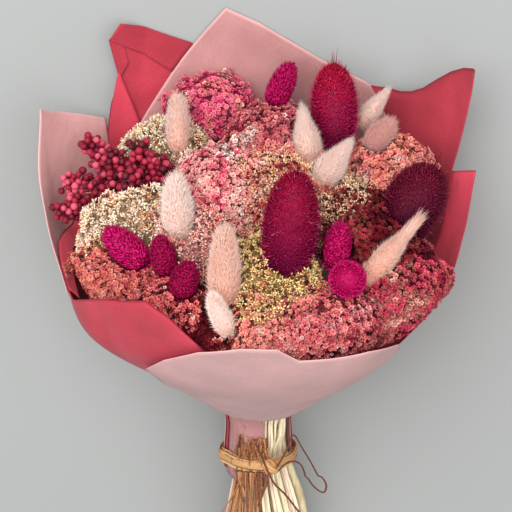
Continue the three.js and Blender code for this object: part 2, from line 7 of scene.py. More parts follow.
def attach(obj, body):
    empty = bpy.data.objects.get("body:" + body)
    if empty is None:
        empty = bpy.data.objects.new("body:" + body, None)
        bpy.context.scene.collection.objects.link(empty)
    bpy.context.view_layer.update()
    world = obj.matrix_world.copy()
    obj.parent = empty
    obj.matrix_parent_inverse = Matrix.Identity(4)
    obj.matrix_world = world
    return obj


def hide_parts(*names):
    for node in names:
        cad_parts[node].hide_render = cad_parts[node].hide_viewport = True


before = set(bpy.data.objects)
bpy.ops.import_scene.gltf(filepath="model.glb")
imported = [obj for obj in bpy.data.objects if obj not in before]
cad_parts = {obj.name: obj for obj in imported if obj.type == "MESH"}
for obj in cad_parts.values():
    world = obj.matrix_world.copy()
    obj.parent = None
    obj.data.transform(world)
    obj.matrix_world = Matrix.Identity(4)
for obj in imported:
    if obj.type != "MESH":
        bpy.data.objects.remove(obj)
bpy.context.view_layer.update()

# Stems
# Every flower dries on its own stalk, and a bunch of filler is several thin stalks side by side. They are
# bare, in rust, straw and cream, run through the tie with a slight spiral, and end in one straight cut.
TIE_CENTRE = np.array([0.00299, -0.0755, 0.05479])
LYING_TILT = np.radians(9.15)
SINE, COSINE = np.sin(LYING_TILT), np.cos(LYING_TILT)
LYING = np.array([[1, 0, 0], [0, SINE, -COSINE], [0, COSINE, SINE]])
STEM_LEVELS = [-139.5, -58.8, 0.1, 20, 40, 62, 92, 128, 168]
STEM_STEPS = 36
STEM_PLACES = (0.00, 0.22, 0.42, 0.58, 0.74, 0.90, 1.00)
STEM_COLOURS = [
    (148, 96, 68), (190, 142, 106), (216, 188, 146), (214, 172, 156), (252, 236, 208), (242, 228, 190),
    (190, 172, 134),
]


def unit(vectors):
    vectors = np.asarray(vectors, float)
    return vectors / np.maximum(np.linalg.norm(vectors, axis=-1, keepdims=True), 1e-9)


def rising(value, start, span):
    """0 up to the start, then straight up to 1 after the span, which is negative for values that fall."""
    return np.clip((value - start) / span, 0, 1)


def laid(points):
    """Points of the standing bouquet, in mm from the tie with Z up the stems and Y to the back, in the
    frame's metres: tipped back by a right angle less the lying tilt, and moved to the tie's place."""
    return np.array(points) @ LYING / 1000 + TIE_CENTRE


def standing(points):
    """The reverse of laid."""
    return (points - TIE_CENTRE) * 1000 @ LYING.T


class Form:
    """Triangles of one piece, in the standing bouquet's mm. faces holds three point numbers a row, and skin
    each face's finish. run goes from 0 at a part's root to 1 at its tip, and seed is the part's number."""

    def __init__(self, points, faces, run, seed=0.0, skin=0):
        self.points = np.asarray(points, float).reshape(-1, 3)
        self.faces = np.asarray(faces, int).reshape(-1, 3)
        self.run = np.broadcast_to(run, len(self.points))
        self.seed = np.broadcast_to(seed, len(self.points))
        self.skin = np.broadcast_to(skin, len(self.faces))

    def __add__(self, other):
        points = np.vstack([self.points, other.points])
        faces = np.vstack([self.faces, other.faces + len(self.points)])
        pairs = (self.run, other.run), (self.seed, other.seed), (self.skin, other.skin)
        return Form(points, faces, *[np.concatenate(pair) for pair in pairs])


def squares(grid):
    """Two triangles for each square of a grid of point numbers, but none where two corners are one point."""
    a, b, c, d = [corner.ravel() for corner in (grid[:-1, :-1], grid[:-1, 1:], grid[1:, 1:], grid[1:, :-1])]
    faces = np.concatenate([np.stack([a, b, c], 1), np.stack([a, c, d], 1)])
    return faces[(faces != np.roll(faces, 1, 1)).all(1)]


def tubes(paths, radii, sides=6, seeds=0.0, skin=0, flat=1.0, facing=None):
    """Closed tubes, one for each path. At every point of a path a ring stands square to it: the point plus
    the radius times the cosine along one cross direction and the sine, times flat, along the other, which is
    facing's. The ring's faces join the next ring's, and a fan closes each end."""
    paths = np.reshape(paths, (-1, *np.shape(paths)[-2:]))
    count, steps, _ = paths.shape
    along = unit(np.gradient(paths, axis=1))
    if facing is None:
        facing = np.eye(3)[np.abs(along.mean(1)).argmin(1)][:, None]
    side = unit(np.cross(along, facing))
    up = np.cross(side, along)
    turn = 2 * np.pi * np.arange(sides) / sides
    spokes = np.cos(turn)[:, None] * side[:, :, None] + flat * np.sin(turn)[:, None] * up[:, :, None]
    rings = paths[:, :, None] + np.broadcast_to(radii, (count, steps))[:, :, None, None] * spokes
    points = np.concatenate([rings.reshape(count, -1, 3), paths[:, :1], paths[:, -1:]], 1)
    foot, tip = np.full((2, 1, sides), [[[steps * sides]], [[steps * sides + 1]]])
    grid = np.concatenate([foot, np.arange(steps * sides).reshape(steps, sides), tip])
    each = steps * sides + 2
    faces = squares(np.hstack([grid, grid[:, :1]]).T) + each * np.arange(count)[:, None, None]
    run = np.concatenate([np.repeat(np.linspace(0, 1, steps), sides), [0, 1]])
    return Form(points, faces, np.tile(run, count), np.repeat(np.broadcast_to(seeds, count), each), skin)


def eased(knots, steps):
    """A smooth path through knots: between two knots, the cubic whose slopes are half the step from the knot
    before to the knot after."""
    knots = np.asarray(knots, float)
    slopes = np.gradient(knots, axis=0)
    at = np.linspace(0, len(knots) - 1, steps)
    i = np.minimum(at.astype(int), len(knots) - 2)
    t = (at - i)[:, None]
    bend = t * (1 - t) * ((1 - t) * slopes[i] - t * slopes[i + 1])
    return knots[i] + (3 * t**2 - 2 * t**3) * (knots[i + 1] - knots[i]) + bend


def stem_line(node, foot, axis):
    """The middle of a node's stem: at each level, half way between the least and the greatest crossing of
    the node's edges, then a straight run into the flower's foot."""
    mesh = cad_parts[node].data
    points, edges = np.empty(3 * len(mesh.vertices)), np.empty(2 * len(mesh.edges), int)
    mesh.vertices.foreach_get("co", points)
    mesh.edges.foreach_get("vertices", edges)
    low, high = np.moveaxis(standing(points.reshape(-1, 3))[edges.reshape(-1, 2)], 1, 0)
    line = []
    for level in [level for level in STEM_LEVELS if level < foot[2] - 24]:
        crosses = (low[:, 2] - level) * (high[:, 2] - level) < 0
        share = (level - low[crosses, 2]) / (high[crosses, 2] - low[crosses, 2])
        cut = low[crosses] + share[:, None] * (high[crosses] - low[crosses])
        line.append((cut.min(0) + cut.max(0)) / 2)
    return np.array([*line, foot - 10 * axis, foot + 3 * axis])


def stems(node, foot, axis, strands, radius, skin=1):
    """Strands side by side round a node's stem line, each on its own angle, which turns slowly up the stem,
    and further out below the tie. Joints thicken them, and those that lean to the right are paler."""
    draw = np.random.default_rng(len(node) * 37 + sum(map(ord, node)))
    line = eased(stem_line(node, foot, axis), STEM_STEPS)
    height = line[:, 2]
    ways = 2 * np.pi * (np.arange(strands) + 0.6 * draw.random(strands))[:, None] / strands
    turn = ways + 0.008 * height
    below = rising(height, 0, -140)
    away = (strands > 1) * (radius * 1.25 + 2.6 * below**1.5)
    paths = line + np.stack([np.cos(turn), np.sin(turn), 0 * turn], -1) * away[:, None]
    bends = np.stack([np.sin(height / 31 + 7 * ways), np.cos(height / 23 + 5 * ways)], -1)
    paths[:, :, :2] += 0.5 * bends * (0.3 + below[:, None])
    paths[:, 0, 2] += draw.random(strands) * 9 * (strands > 1)
    run = np.linspace(0, 1, STEM_STEPS)
    joints = draw.random((strands, 1, 5)) * 0.5
    swell = 0.28 * np.exp(-(((run[:, None] - joints) / 0.012) ** 2)).sum(-1)
    thick = radius * (1.06 - 0.35 * run + swell) * (0.85 + 0.3 * draw.random((strands, 1)))
    tone = draw.random(strands) * 0.62
    if line[2, 0] > 5:
        tone = 0.66 + 0.3 * draw.random(strands)
    return tubes(paths, thick, 6, tone, skin)


def build(name, form, finishes, node, smooth=True):
    """One mesh object of a form, which stands for its node. The waist above the tie is drawn in by up to
    16%, the right of the stems fans out by up to 22%, and what would sink into the table lies on it."""
    height = form.points[:, 2:]
    waist = 1 - 0.16 * np.exp(-(((height - 32) / 24) ** 2))
    fan = 1 + 0.22 * np.exp(-(((height + 50) / 36) ** 2)) * (form.points[:, :1] > 0) * (height < -6)
    points = laid(form.points * np.hstack([waist * fan, waist, np.ones_like(waist)]))
    points[:, 2] = np.maximum(points[:, 2], 0.0001)
    mesh = bpy.data.meshes.new(name)
    mesh.vertices.add(len(points))
    mesh.vertices.foreach_set("co", points.ravel())
    mesh.loops.add(form.faces.size)
    mesh.loops.foreach_set("vertex_index", form.faces.ravel())
    mesh.polygons.add(len(form.faces))
    mesh.polygons.foreach_set("loop_start", np.arange(0, form.faces.size, 3))
    mesh.polygons.foreach_set("material_index", form.skin)
    mesh.polygons.foreach_set("use_smooth", np.full(len(form.faces), smooth))
    mesh.update(calc_edges=True)
    for mark in ("run", "seed"):
        mesh.attributes.new(mark, "FLOAT", "POINT").data.foreach_set("value", getattr(form, mark))
    for finish in finishes:
        mesh.materials.append(finish)
    piece = bpy.data.objects.new(name, mesh)
    bpy.context.scene.collection.objects.link(piece)
    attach(piece, "root")
    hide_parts(node)


def linear(colour):
    """A colour given as red, green and blue from 0 to 255, as the light values that shaders use."""
    values = np.array(colour) / 255
    return (*np.where(values < 0.04045, values / 12.92, ((values + 0.055) / 1.055) ** 2.4), 1.0)


class Wire:
    """One output of a material's nodes. A sum, difference or product with it adds a Math node."""

    def __init__(self, finish, socket):
        self.finish = finish
        self.socket = socket

    def __add__(self, other):
        return self.finish.maths("ADD", self, other)

    def __mul__(self, other):
        return self.finish.maths("MULTIPLY", self, other)

    def __sub__(self, other):
        return self.finish.maths("SUBTRACT", self, other)

    def __rsub__(self, other):
        return self.finish.maths("SUBTRACT", other, self)

    __radd__ = __add__
    __rmul__ = __mul__


class Finish:
    """A material under construction: node adds one node, and surface joins the shader to the output."""

    def __init__(self, name):
        self.material = bpy.data.materials.new(name)
        self.material.use_nodes = True
        self.tree = self.material.node_tree
        self.tree.nodes.clear()

    def node(self, kind, settings, *inputs, output=0, **named):
        """Adds a node: its settings first, then a value or a wire for each socket, by number or name."""
        made = self.tree.nodes.new(kind)
        for key, value in settings.items():
            setattr(made, key, value)
        for key, value in [*enumerate(inputs), *named.items()]:
            if isinstance(key, str):
                key = key.replace("_", " ")
            if isinstance(value, Wire):
                self.tree.links.new(value.socket, made.inputs[key])
            elif value is not None:
                made.inputs[key].default_value = value
        return Wire(self, made.outputs[output]) if made.outputs else None

    def maths(self, operation, first, second):
        return self.node("ShaderNodeMath", {"operation": operation}, first, second)

    def mark(self, name):
        """A number marked on the piece's points."""
        return self.node("ShaderNodeAttribute", {"attribute_name": name}, output="Fac")

    def place(self):
        """A point's place in the frame, in metres."""
        return self.node("ShaderNodeTexCoord", {}, output="Object")

    def noise(self, scale, detail=3.0, stretch=None):
        """Noise from 0 to 1 over the piece."""
        place = self.place()
        if stretch:
            place = self.node("ShaderNodeMapping", {}, place, Scale=stretch)
        return self.node("ShaderNodeTexNoise", {}, Vector=place, Scale=scale, Detail=detail)

    def ramp(self, amount, colours, places=None):
        """The colour at an amount, between colours set at their places, or evenly from 0 to 1."""
        ramp = self.node("ShaderNodeValToRGB", {}, amount)
        stops = ramp.socket.node.color_ramp.elements
        for _ in colours[2:]:
            stops.new(1.0)
        for stop, place, colour in zip(stops, places or np.linspace(0, 1, len(colours)), colours):
            stop.position = place
            stop.color = linear(colour)
        return ramp

    def blend(self, amount, first, second):
        """Two colours mixed by an amount, past the node's five sockets for other kinds of value."""
        unused = [None] * 5
        return self.node("ShaderNodeMix", {"data_type": "RGBA"}, amount, *unused, first, second, output=2)

    def bump(self, height, depth):
        return self.node("ShaderNodeBump", {}, Height=height, Distance=depth)

    def surface(self, gloss=0.15, **sockets):
        """The shader, with little gloss unless told, joined to the material's output."""
        shader = self.node("ShaderNodeBsdfPrincipled", {}, Specular_IOR_Level=gloss, **sockets)
        self.node("ShaderNodeOutputMaterial", {}, shader)
        return self.material


stalk = Finish("dried_stalk")
streaks = stalk.noise(900.0, 4.0, (1.0, 0.04, 0.6))
patches = stalk.noise(60.0)
stalk_colour = stalk.ramp(stalk.mark("seed") + (patches - 0.5) * 0.25, STEM_COLOURS, STEM_PLACES)
stalk_skin = stalk.surface(
    Base_Color=stalk.blend((streaks - 0.46) * 1.3, stalk_colour, linear((120, 82, 54))),
    Roughness=0.55 + 0.3 * streaks,
    Normal=stalk.bump(streaks, 0.0004),
)

# Teasels
# Three teasel heads, dyed magenta: a hollow egg of stiff boat-shaped bracts, each drawn out into a fine bent
# spine, with a few narrow leaves curving up round its foot. Each stands on a bare ridged stem.
UP = np.array([0.0, 0.0, 1.0])
LEAF_TURNS = np.radians([10, 70, 125, 185, 240, 300])
SPINE_PLACES = (0.0, 0.5, 0.9, 1.0)
# foot_dye and top_dye colour a head's spines from root to tip, at its foot and at its top
TEASELS = {
    "teasel_1": dict(
        at=(17, -55, 201), axis=(0.1, 0.02, 0.99), length=75, width=29, spines=1500,
        foot_dye=[(52, 0, 28), (124, 0, 66), (164, 16, 90), (232, 150, 184)],
        top_dye=[(60, 0, 18), (138, 0, 38), (176, 12, 62), (236, 150, 172)],
    ),
    "teasel_2": dict(
        at=(46, 43, 233), axis=(-0.02, 0.4, 0.9), length=56, width=26, spines=1150,
        foot_dye=[(58, 0, 30), (134, 6, 76), (176, 30, 110), (236, 168, 196)],
        top_dye=[(80, 0, 18), (166, 4, 36), (206, 22, 62), (240, 158, 166)],
    ),
    "teasel_3": dict(
        at=(92, -16, 198), axis=(0.46, 0.22, 0.86), length=52, width=32, spines=1250,
        foot_dye=[(26, 0, 20), (74, 2, 38), (114, 14, 56), (190, 108, 138)],
        top_dye=[(38, 0, 18), (100, 6, 34), (140, 24, 54), (206, 120, 136)],
    ),
}


def strewn(draw, count, jitter):
    """Points on a ball along the spiral that flower heads grow in, each moved a little: equal steps from
    pole to pole, each a golden angle further round."""
    height = 1 - (2 * np.arange(count) + 1) / count
    turn = np.pi * (3 - np.sqrt(5)) * np.arange(count)
    ring = np.sqrt(1 - height**2)
    spiral = np.stack([ring * np.cos(turn), ring * np.sin(turn), height], 1)
    return unit(spiral + jitter * draw.normal(size=(count, 3)))


def egg(ball, length, width, taper=0.0):
    """Points of a ball drawn out into an egg along Z, thinner towards the tip, and the ways out of it."""
    radius = width / 2 * (1 - taper * ball[:, 2:])
    places = np.hstack([ball[:, :2] * radius, ball[:, 2:] * length / 2])
    return places, unit(ball / np.array([width, width, length]))


def egg_form(length, width, taper=0.0, rows=14, sides=22, seed=0.0, skin=0):
    """The closed skin of an egg: rings of the ball from foot to tip."""
    height = np.cos(np.pi * np.linspace(0.996, 0.004, rows))
    path = np.stack([0 * height, 0 * height, height * length / 2], 1)
    return tubes(path, np.sqrt(1 - height**2) * width / 2 * (1 - taper * height), sides, seed, skin)


def turned(points, axis, at=(0, 0, 0)):
    """Points of a head along Z, turned so that Z lies along the axis, and moved to its place."""
    tip = unit(axis)
    across = unit(np.cross((0.0, 1.0, 0.2), tip))
    return points @ np.stack([across, np.cross(tip, across), tip]) + np.array(at, float)


def copies(shape, places, outward, toward, sizes, seeds):
    """A small shape set at many places. Its Z points outward, its X as nearly toward as it can."""
    z = unit(outward)
    x = unit(toward - (toward * z).sum(-1, keepdims=True) * z)
    frames = np.stack([x, np.cross(z, x), z], 1)
    points = (shape.points * np.reshape(sizes, (-1, 1, 1))) @ frames + places[:, None]
    faces = shape.faces + len(shape.points) * np.arange(len(places))[:, None, None]
    seeds = np.repeat(np.broadcast_to(seeds, len(places)), len(shape.points))
    return Form(points, faces, np.tile(shape.run, len(places)), seeds)


def thorn(length, root):
    """A fine three-sided point in mm along Z that leans a little towards X."""
    turn = 2 * np.pi * np.arange(3) / 3
    ring = np.stack([root * np.cos(turn), root * np.sin(turn), 0 * turn], 1)
    faces = [[0, 2, 1], [0, 1, 3], [1, 2, 3], [2, 0, 3]]
    return Form([*ring, [0.1 * length, 0, length]], faces, [0, 0, 0, 1])


def bract(length, width, thick):
    """A small pointed bract along Z: root, left, right and tip, a keel on its outer side, X, and a flatter
    inner side."""
    points = [
        [0, 0, 0], [0, width / 2, 0.45 * length], [0, -width / 2, 0.45 * length], [0.1 * length, 0, length],
        [thick, 0, 0.42 * length], [-0.15 * thick, 0, 0.4 * length],
    ]
    faces = [[0, 2, 4], [2, 3, 4], [3, 1, 4], [1, 0, 4], [2, 0, 5], [3, 2, 5], [1, 3, 5], [0, 1, 5]]
    return Form(points, faces, [0.1, 0.5, 0.5, 0.8, 0.7, 0.1])


def axis_and_foot(head):
    """The direction along a head, and the point where its stem ends."""
    axis = unit(head["axis"])
    return axis, np.array(head["at"]) - axis * head["length"] / 2


def teasel_leaves(draw, length, width):
    """Six flat leaves from under the head, whose spread goes as a sine and whose rise as a square."""
    turns = LEAF_TURNS + draw.random(6)
    curve = np.linspace(0, 1, 10)
    spread = 2 + (width / 2 + 4) * np.sin(1.5 * curve)
    rise = -length / 2 + 1 + 20 * curve**2 + 0 * turns[:, None]
    paths = np.stack([np.cos(turns)[:, None] * spread, np.sin(turns)[:, None] * spread, rise], -1)
    leaves = tubes(paths, 0.9 * np.sin(np.pi * (0.12 + 0.86 * curve)), 4, 0.3, flat=0.35)
    leaves.run = leaves.run * 0.7
    return leaves


for name, teasel in TEASELS.items():
    draw = np.random.default_rng(teasel["spines"])
    axis, foot = axis_and_foot(teasel)
    length, width = teasel["length"] - 4, teasel["width"]
    ball = strewn(draw, teasel["spines"], 0.02)
    places, outward = egg(ball, length, width)
    ways = unit(outward + 0.9 * (1 - ball[:, 2:] ** 2) * UP + 0.1 * draw.normal(size=ball.shape))
    places = places - 0.4 * outward
    scales = copies(bract(3.0, 1.8, 0.75), places, ways, outward, 1.0, draw.random(len(ball)))
    ball = strewn(draw, int(1.6 * len(ball)), 0.03)
    places, outward = egg(ball, length, width)
    ways = unit(outward + 0.35 * UP + 0.16 * draw.normal(size=ball.shape))
    reach = 0.6 + 0.5 * draw.random(len(ball)) + 0.4 * np.clip(ball[:, 2] - 0.7, 0, 1)
    reach[:6] = 1.4 + 1.2 * draw.random(6)
    is_pale = draw.random(len(ball)) > 0.82
    seeds = draw.random(len(ball)) + 2.4 * is_pale
    crown = copies(thorn(5.2, 0.17), places, ways, UP + outward * 0.01, reach * (1 + 0.2 * is_pale), seeds)
    head = egg_form(length, width) + scales + crown + teasel_leaves(draw, teasel["length"], width)
    head.points = turned(head.points, axis, teasel["at"])
    dye = Finish(name + "_dye")
    grain = dye.noise(110.0)
    tone = dye.mark("run") * 0.8 + (dye.mark("seed") - 0.5) * 0.16 + (grain - 0.5) * 0.3
    height = dye.node("ShaderNodeSeparateXYZ", {}, dye.place(), output="Y")
    up_head = (height - laid(teasel["at"])[1]) * (700 / teasel["length"]) + 0.3 + grain * 0.4
    at_foot, at_top = [dye.ramp(tone, teasel[end], SPINE_PLACES) for end in ("foot_dye", "top_dye")]
    dye_skin = dye.surface(Base_Color=dye.blend(up_head, at_foot, at_top), Roughness=0.55 + 0.2 * grain)
    build(name + "_spines", head, [dye_skin], name + "_head")
    stem = stems(name + "_stem", foot, axis, 1, 2.6, skin=0)
    build(name + "_stalk", stem, [stalk_skin], name + "_stem")

# Canary grass and globe amaranth
# Spindle heads and one round head, dyed bright magenta, covered from foot to tip in stiff papery bracts that
# overlap upwards, each with a paler keel. Each sits on a thin straw.
MAGENTA_HEADS = {
    "canary_grass_1": dict(at=(-79, -47, 184), axis=(-0.72, 0.1, 0.69), length=33, width=19, dark=0.05),
    "canary_grass_2": dict(at=(-57, -58, 184), axis=(-0.13, -0.09, 0.99), length=26, width=15, dark=0.52),
    "canary_grass_3": dict(at=(-44.5, -73, 177), axis=(0.26, -0.11, 0.96), length=24, width=17, dark=0.58),
    "canary_grass_4": dict(at=(13, 62, 239), axis=(0.41, 0.4, 0.82), length=31, width=17, dark=0.27),
    "globe_amaranth_1": dict(at=(45, -54, 189), axis=(0.12, 0.02, 0.99), length=30, width=16, dark=0.15),
    "globe_amaranth_2": dict(at=(50, -76, 180), axis=(0.12, -0.7, 0.7), length=21, width=21),
}
MAGENTA_DYE = [(90, 0, 32), (138, 0, 56), (180, 0, 86), (214, 36, 122)]
DYE_PLACES = (0.0, 0.35, 0.7, 1.0)
BRACTS = 760

magenta = Finish("magenta_dye")
grain = magenta.noise(500.0)
tone = magenta.mark("run") * 0.5 + magenta.mark("seed") * 0.6 + (grain - 0.5) * 0.25
magenta_skin = magenta.surface(
    Base_Color=magenta.ramp(tone, MAGENTA_DYE, DYE_PLACES),
    Roughness=0.42 + 0.3 * grain,
    Normal=magenta.bump(grain, 0.0003),
)
for name, bloom in MAGENTA_HEADS.items():
    draw = np.random.default_rng(int(bloom["length"] * 100 + bloom["width"]))
    axis, foot = axis_and_foot(bloom)
    length, width = bloom["length"] - 2.5, bloom["width"] - 2.5
    is_round = length == width
    papery = bract(2.8, 1.6, 0.4) if is_round else bract(3.6, 1.8, 0.4)
    taper, lean = (0.0, 1.2) if is_round else (0.18, 3.0)
    ball = strewn(draw, BRACTS, 0.035)
    places, outward = egg(ball, length, width, taper)
    rise = lean * (1 - np.abs(ball[:, 2:]) ** 3)
    ways = unit(outward + rise * UP + 0.16 * draw.normal(size=ball.shape))
    sizes = 0.7 + 0.5 * draw.random(BRACTS)
    shades = 0.7 * draw.random(BRACTS) + 0.3 - bloom.get("dark", 0.0)
    head = egg_form(length, width, taper, seed=0.3) + copies(papery, places, ways, outward, sizes, shades)
    head.points = turned(head.points, axis, bloom["at"])
    form = head + stems(name, foot, axis, 1, 1.25)
    slot = "amaranth_heads" if name.startswith("globe") else "canary_grass_heads"
    build(name + "_flower", form, [magenta_skin, stalk_skin], name)

# Bunny tails
# Nine soft oval heads of bunny tail grass, bleached to cream, white or peach: a dense core of husks under a
# coat of fine hairs that lie up towards the tip and stand off it, and longer awns at the tips of four.
# tone sets where a head's colour lies from pink-peach to white: partly its own bleach, partly painted light
# and shade for how the head is lit.
TAILS = {
    "bunny_tail_1": dict(at=(-49, -36, 204), axis=(-0.03, 0.09, 1), length=42, width=17, tone=0.85),
    "bunny_tail_2": dict(at=(-21, -73, 183), axis=(0.02, 0.14, 0.99), length=54, width=17, tone=0.48),
    "bunny_tail_3": dict(at=(-23, -96, 168), axis=(-0.3, -0.1, 0.95), length=32, width=12, tone=0.9),
    "bunny_tail_4": dict(at=(28, 16, 225), axis=(-0.13, 0.34, 0.93), length=32, width=15, tone=0.68),
    "bunny_tail_5": dict(at=(42, -5, 216), axis=(0.56, 0.08, 0.82), length=34, width=16, tone=0.74),
    "bunny_tail_6": dict(at=(71, 57, 226), axis=(0.61, 0.23, 0.76), length=30, width=11.5, tone=0.75),
    "bunny_tail_7": dict(at=(74, 31, 220), axis=(0.62, 0.1, 0.78), length=24, width=15, tone=0.0),
    "bunny_tail_8": dict(at=(74, -57, 185), axis=(0.61, 0.12, 0.78), length=47, width=13, tone=0.45),
    "bunny_tail_9": dict(at=(-51, 30, 228), axis=(0, 0.38, 0.92), length=36, width=14, tone=0.6),
}
# How much longer the hairs are at the tips of those with awns
AWNS = {"bunny_tail_4": 1.1, "bunny_tail_5": 0.9, "bunny_tail_6": 0.6, "bunny_tail_8": 2.6}
TAIL_COLOURS = [(214, 152, 146), (236, 178, 152), (240, 200, 186), (250, 228, 218)]
TAIL_PLACES = (0.0, 0.3, 0.6, 1.0)

down = Finish("bunny_tail_down")
tone = down.mark("seed") + (down.noise(70.0) - 0.5) * 0.5 + (down.mark("run") - 0.5) * 0.25
down_colour = down.ramp(tone, TAIL_COLOURS, TAIL_PLACES)
down_skin = down.surface(Base_Color=down_colour, Roughness=0.85, Sheen_Weight=0.3)
for name, tail in TAILS.items():
    draw = np.random.default_rng(int(tail["length"] * 10 + tail["at"][0] + 300))
    axis, foot = axis_and_foot(tail)
    length, width, awns = tail["length"], tail["width"], AWNS.get(name, 0.0)
    taper = 0.4 + 0.08 * awns if awns else 0.2
    count = int(7.5 * length * width)
    ball = strewn(draw, count, 0.02)
    up_ball = ball[:, 2:]
    places, outward = egg(ball, length - 3, width - 3, taper)
    flank = 1 - 0.5 * np.abs(up_ball) ** 3
    lean = (0.9 + 0.9 * draw.random((count, 1))) * flank + 2 * (awns > 0) * np.clip(up_ball, 0, 1)
    ways = unit(outward + lean * UP + 0.2 * draw.normal(size=ball.shape))
    reach = 0.6 + 0.6 * draw.random((count, 1)) ** 2
    reach = reach + 2 * awns * np.clip(up_ball - 0.55, 0, 1) * draw.random((count, 1))
    shades = tail["tone"] + 0.1 * draw.normal(size=count) - 0.35 * np.clip(-ball[:, 2] - 0.2, 0, 1)
    coat = copies(thorn(0.38 * width, 0.2), places, ways, UP + 0.01 * outward, reach, shades)
    head = egg_form(length - 2.5, width - 2.5, taper, seed=tail["tone"] - 0.1) + coat
    head.points = turned(head.points, axis, tail["at"])
    form = head + stems(name, foot, axis, 1, 1.05)
    build(name + "_head", form, [down_skin, stalk_skin], name)

# Pepper berries
# Two forked sprays of small dry berries, dyed raspberry: round husks with a dimpled skin, each on a short
# twig, crowded along thin arms.
BERRY_SPRAYS = {
    "berry_spray_1": dict(
        fork=(-88, 24, 182), shade=0.1,
        arms=[(-109, 46, 210), (-121, 14, 197), (-124, -2, 184)],
    ),
    "berry_spray_2": dict(
        fork=(-70, 10, 186), shade=-0.2,
        arms=[(-94, 16, 214), (-76, 20, 220), (-106, 0, 196), (-62, 8, 216), (-82, -4, 208)],
    ),
}
BERRY_COLOURS = [(54, 0, 18), (106, 6, 32), (158, 24, 54), (210, 84, 108)]
BERRY_RADIUS = 2.35
BERRY_STEP = 0.72

berry = Finish("dyed_berry")
pits = berry.noise(900.0, 2.0)
tone = berry.mark("seed") * 0.85 + berry.mark("run") * 0.3 + (pits - 0.5) * 0.3 - 0.04
berry_skin = berry.surface(
    Base_Color=berry.ramp(tone, BERRY_COLOURS, DYE_PLACES),
    Roughness=0.45 + 0.3 * pits,
    Coat_Weight=0.05,
    gloss=0.3,
    Normal=berry.bump(pits, 0.0005),
)
berry_places = np.zeros((0, 3))
for name, spray in BERRY_SPRAYS.items():
    draw = np.random.default_rng(len(name) + int(spray["fork"][1]))
    fork = np.array(spray["fork"], float)
    form = stems(name, fork, unit(fork), 1, 1.3)
    beads, roots = np.zeros((0, 3)), np.zeros((0, 3))
    for number, arm in enumerate(spray["arms"]):
        along = np.array(arm) - fork
        reach = np.linalg.norm(along)
        along = unit(along)
        side = unit(np.cross((0.3, 1.0, 0.2), along))
        count = int(reach / BERRY_STEP)
        share = ((np.arange(count) + 0.5) / count)[:, None]
        on_arm = fork + (8 + (reach - 7) * share) * along + (2.5 * np.sin(np.pi * share)) * side
        away = (2.0 + 11 * draw.random((count, 1)) ** 1.5) * (1 - 0.45 * share)
        turns = (number + 2.4 * np.arange(count))[:, None]
        ways = side * np.cos(turns) + np.cross(along, side) * np.sin(turns)
        beads = np.vstack([beads, on_arm + away * ways])
        roots = np.vstack([roots, on_arm - 2 * along])
        form = form + tubes(eased(np.vstack([fork, on_arm[::4], on_arm[-1]]), 24), 0.7, 5, 0.1, skin=1)
    # Berries closer than nearly two radii push each other apart
    for _ in range(14):
        apart = beads[:, None] - beads
        distance = np.linalg.norm(apart, axis=2)
        push = np.clip(1.85 * BERRY_RADIUS - distance, 0, None) * (distance > 0) * 0.3
        beads = beads + (unit(apart) * push[:, :, None]).sum(1)
    sizes = BERRY_RADIUS * (0.85 + 0.3 * draw.random(len(beads)))
    shades = draw.random(len(beads)) + spray["shade"]
    form = form + copies(egg_form(2.0, 2.0, 0.05, 6, 8), beads, beads - roots, UP, sizes, shades)
    form = form + tubes(np.stack([roots, beads], 1), 0.4, 3, 0.15)
    berry_places = np.vstack([berry_places, beads])
    build(name + "_berries", form, [berry_skin, stalk_skin], name)

# Statice and broom bloom
# Seventeen domed bunches of small dried flowers fill the bouquet. Dyed statice has papery cupped florets of
# five petals; bleached broom has clusters of tiny husks. Both crowd on fine twigs, with painted shade
# between
# them: each floret darkens towards its root, over a dark core.
BUNCH_DEPTH = 19
BUNCH_TAPER = -0.12
BLEND = 5.0
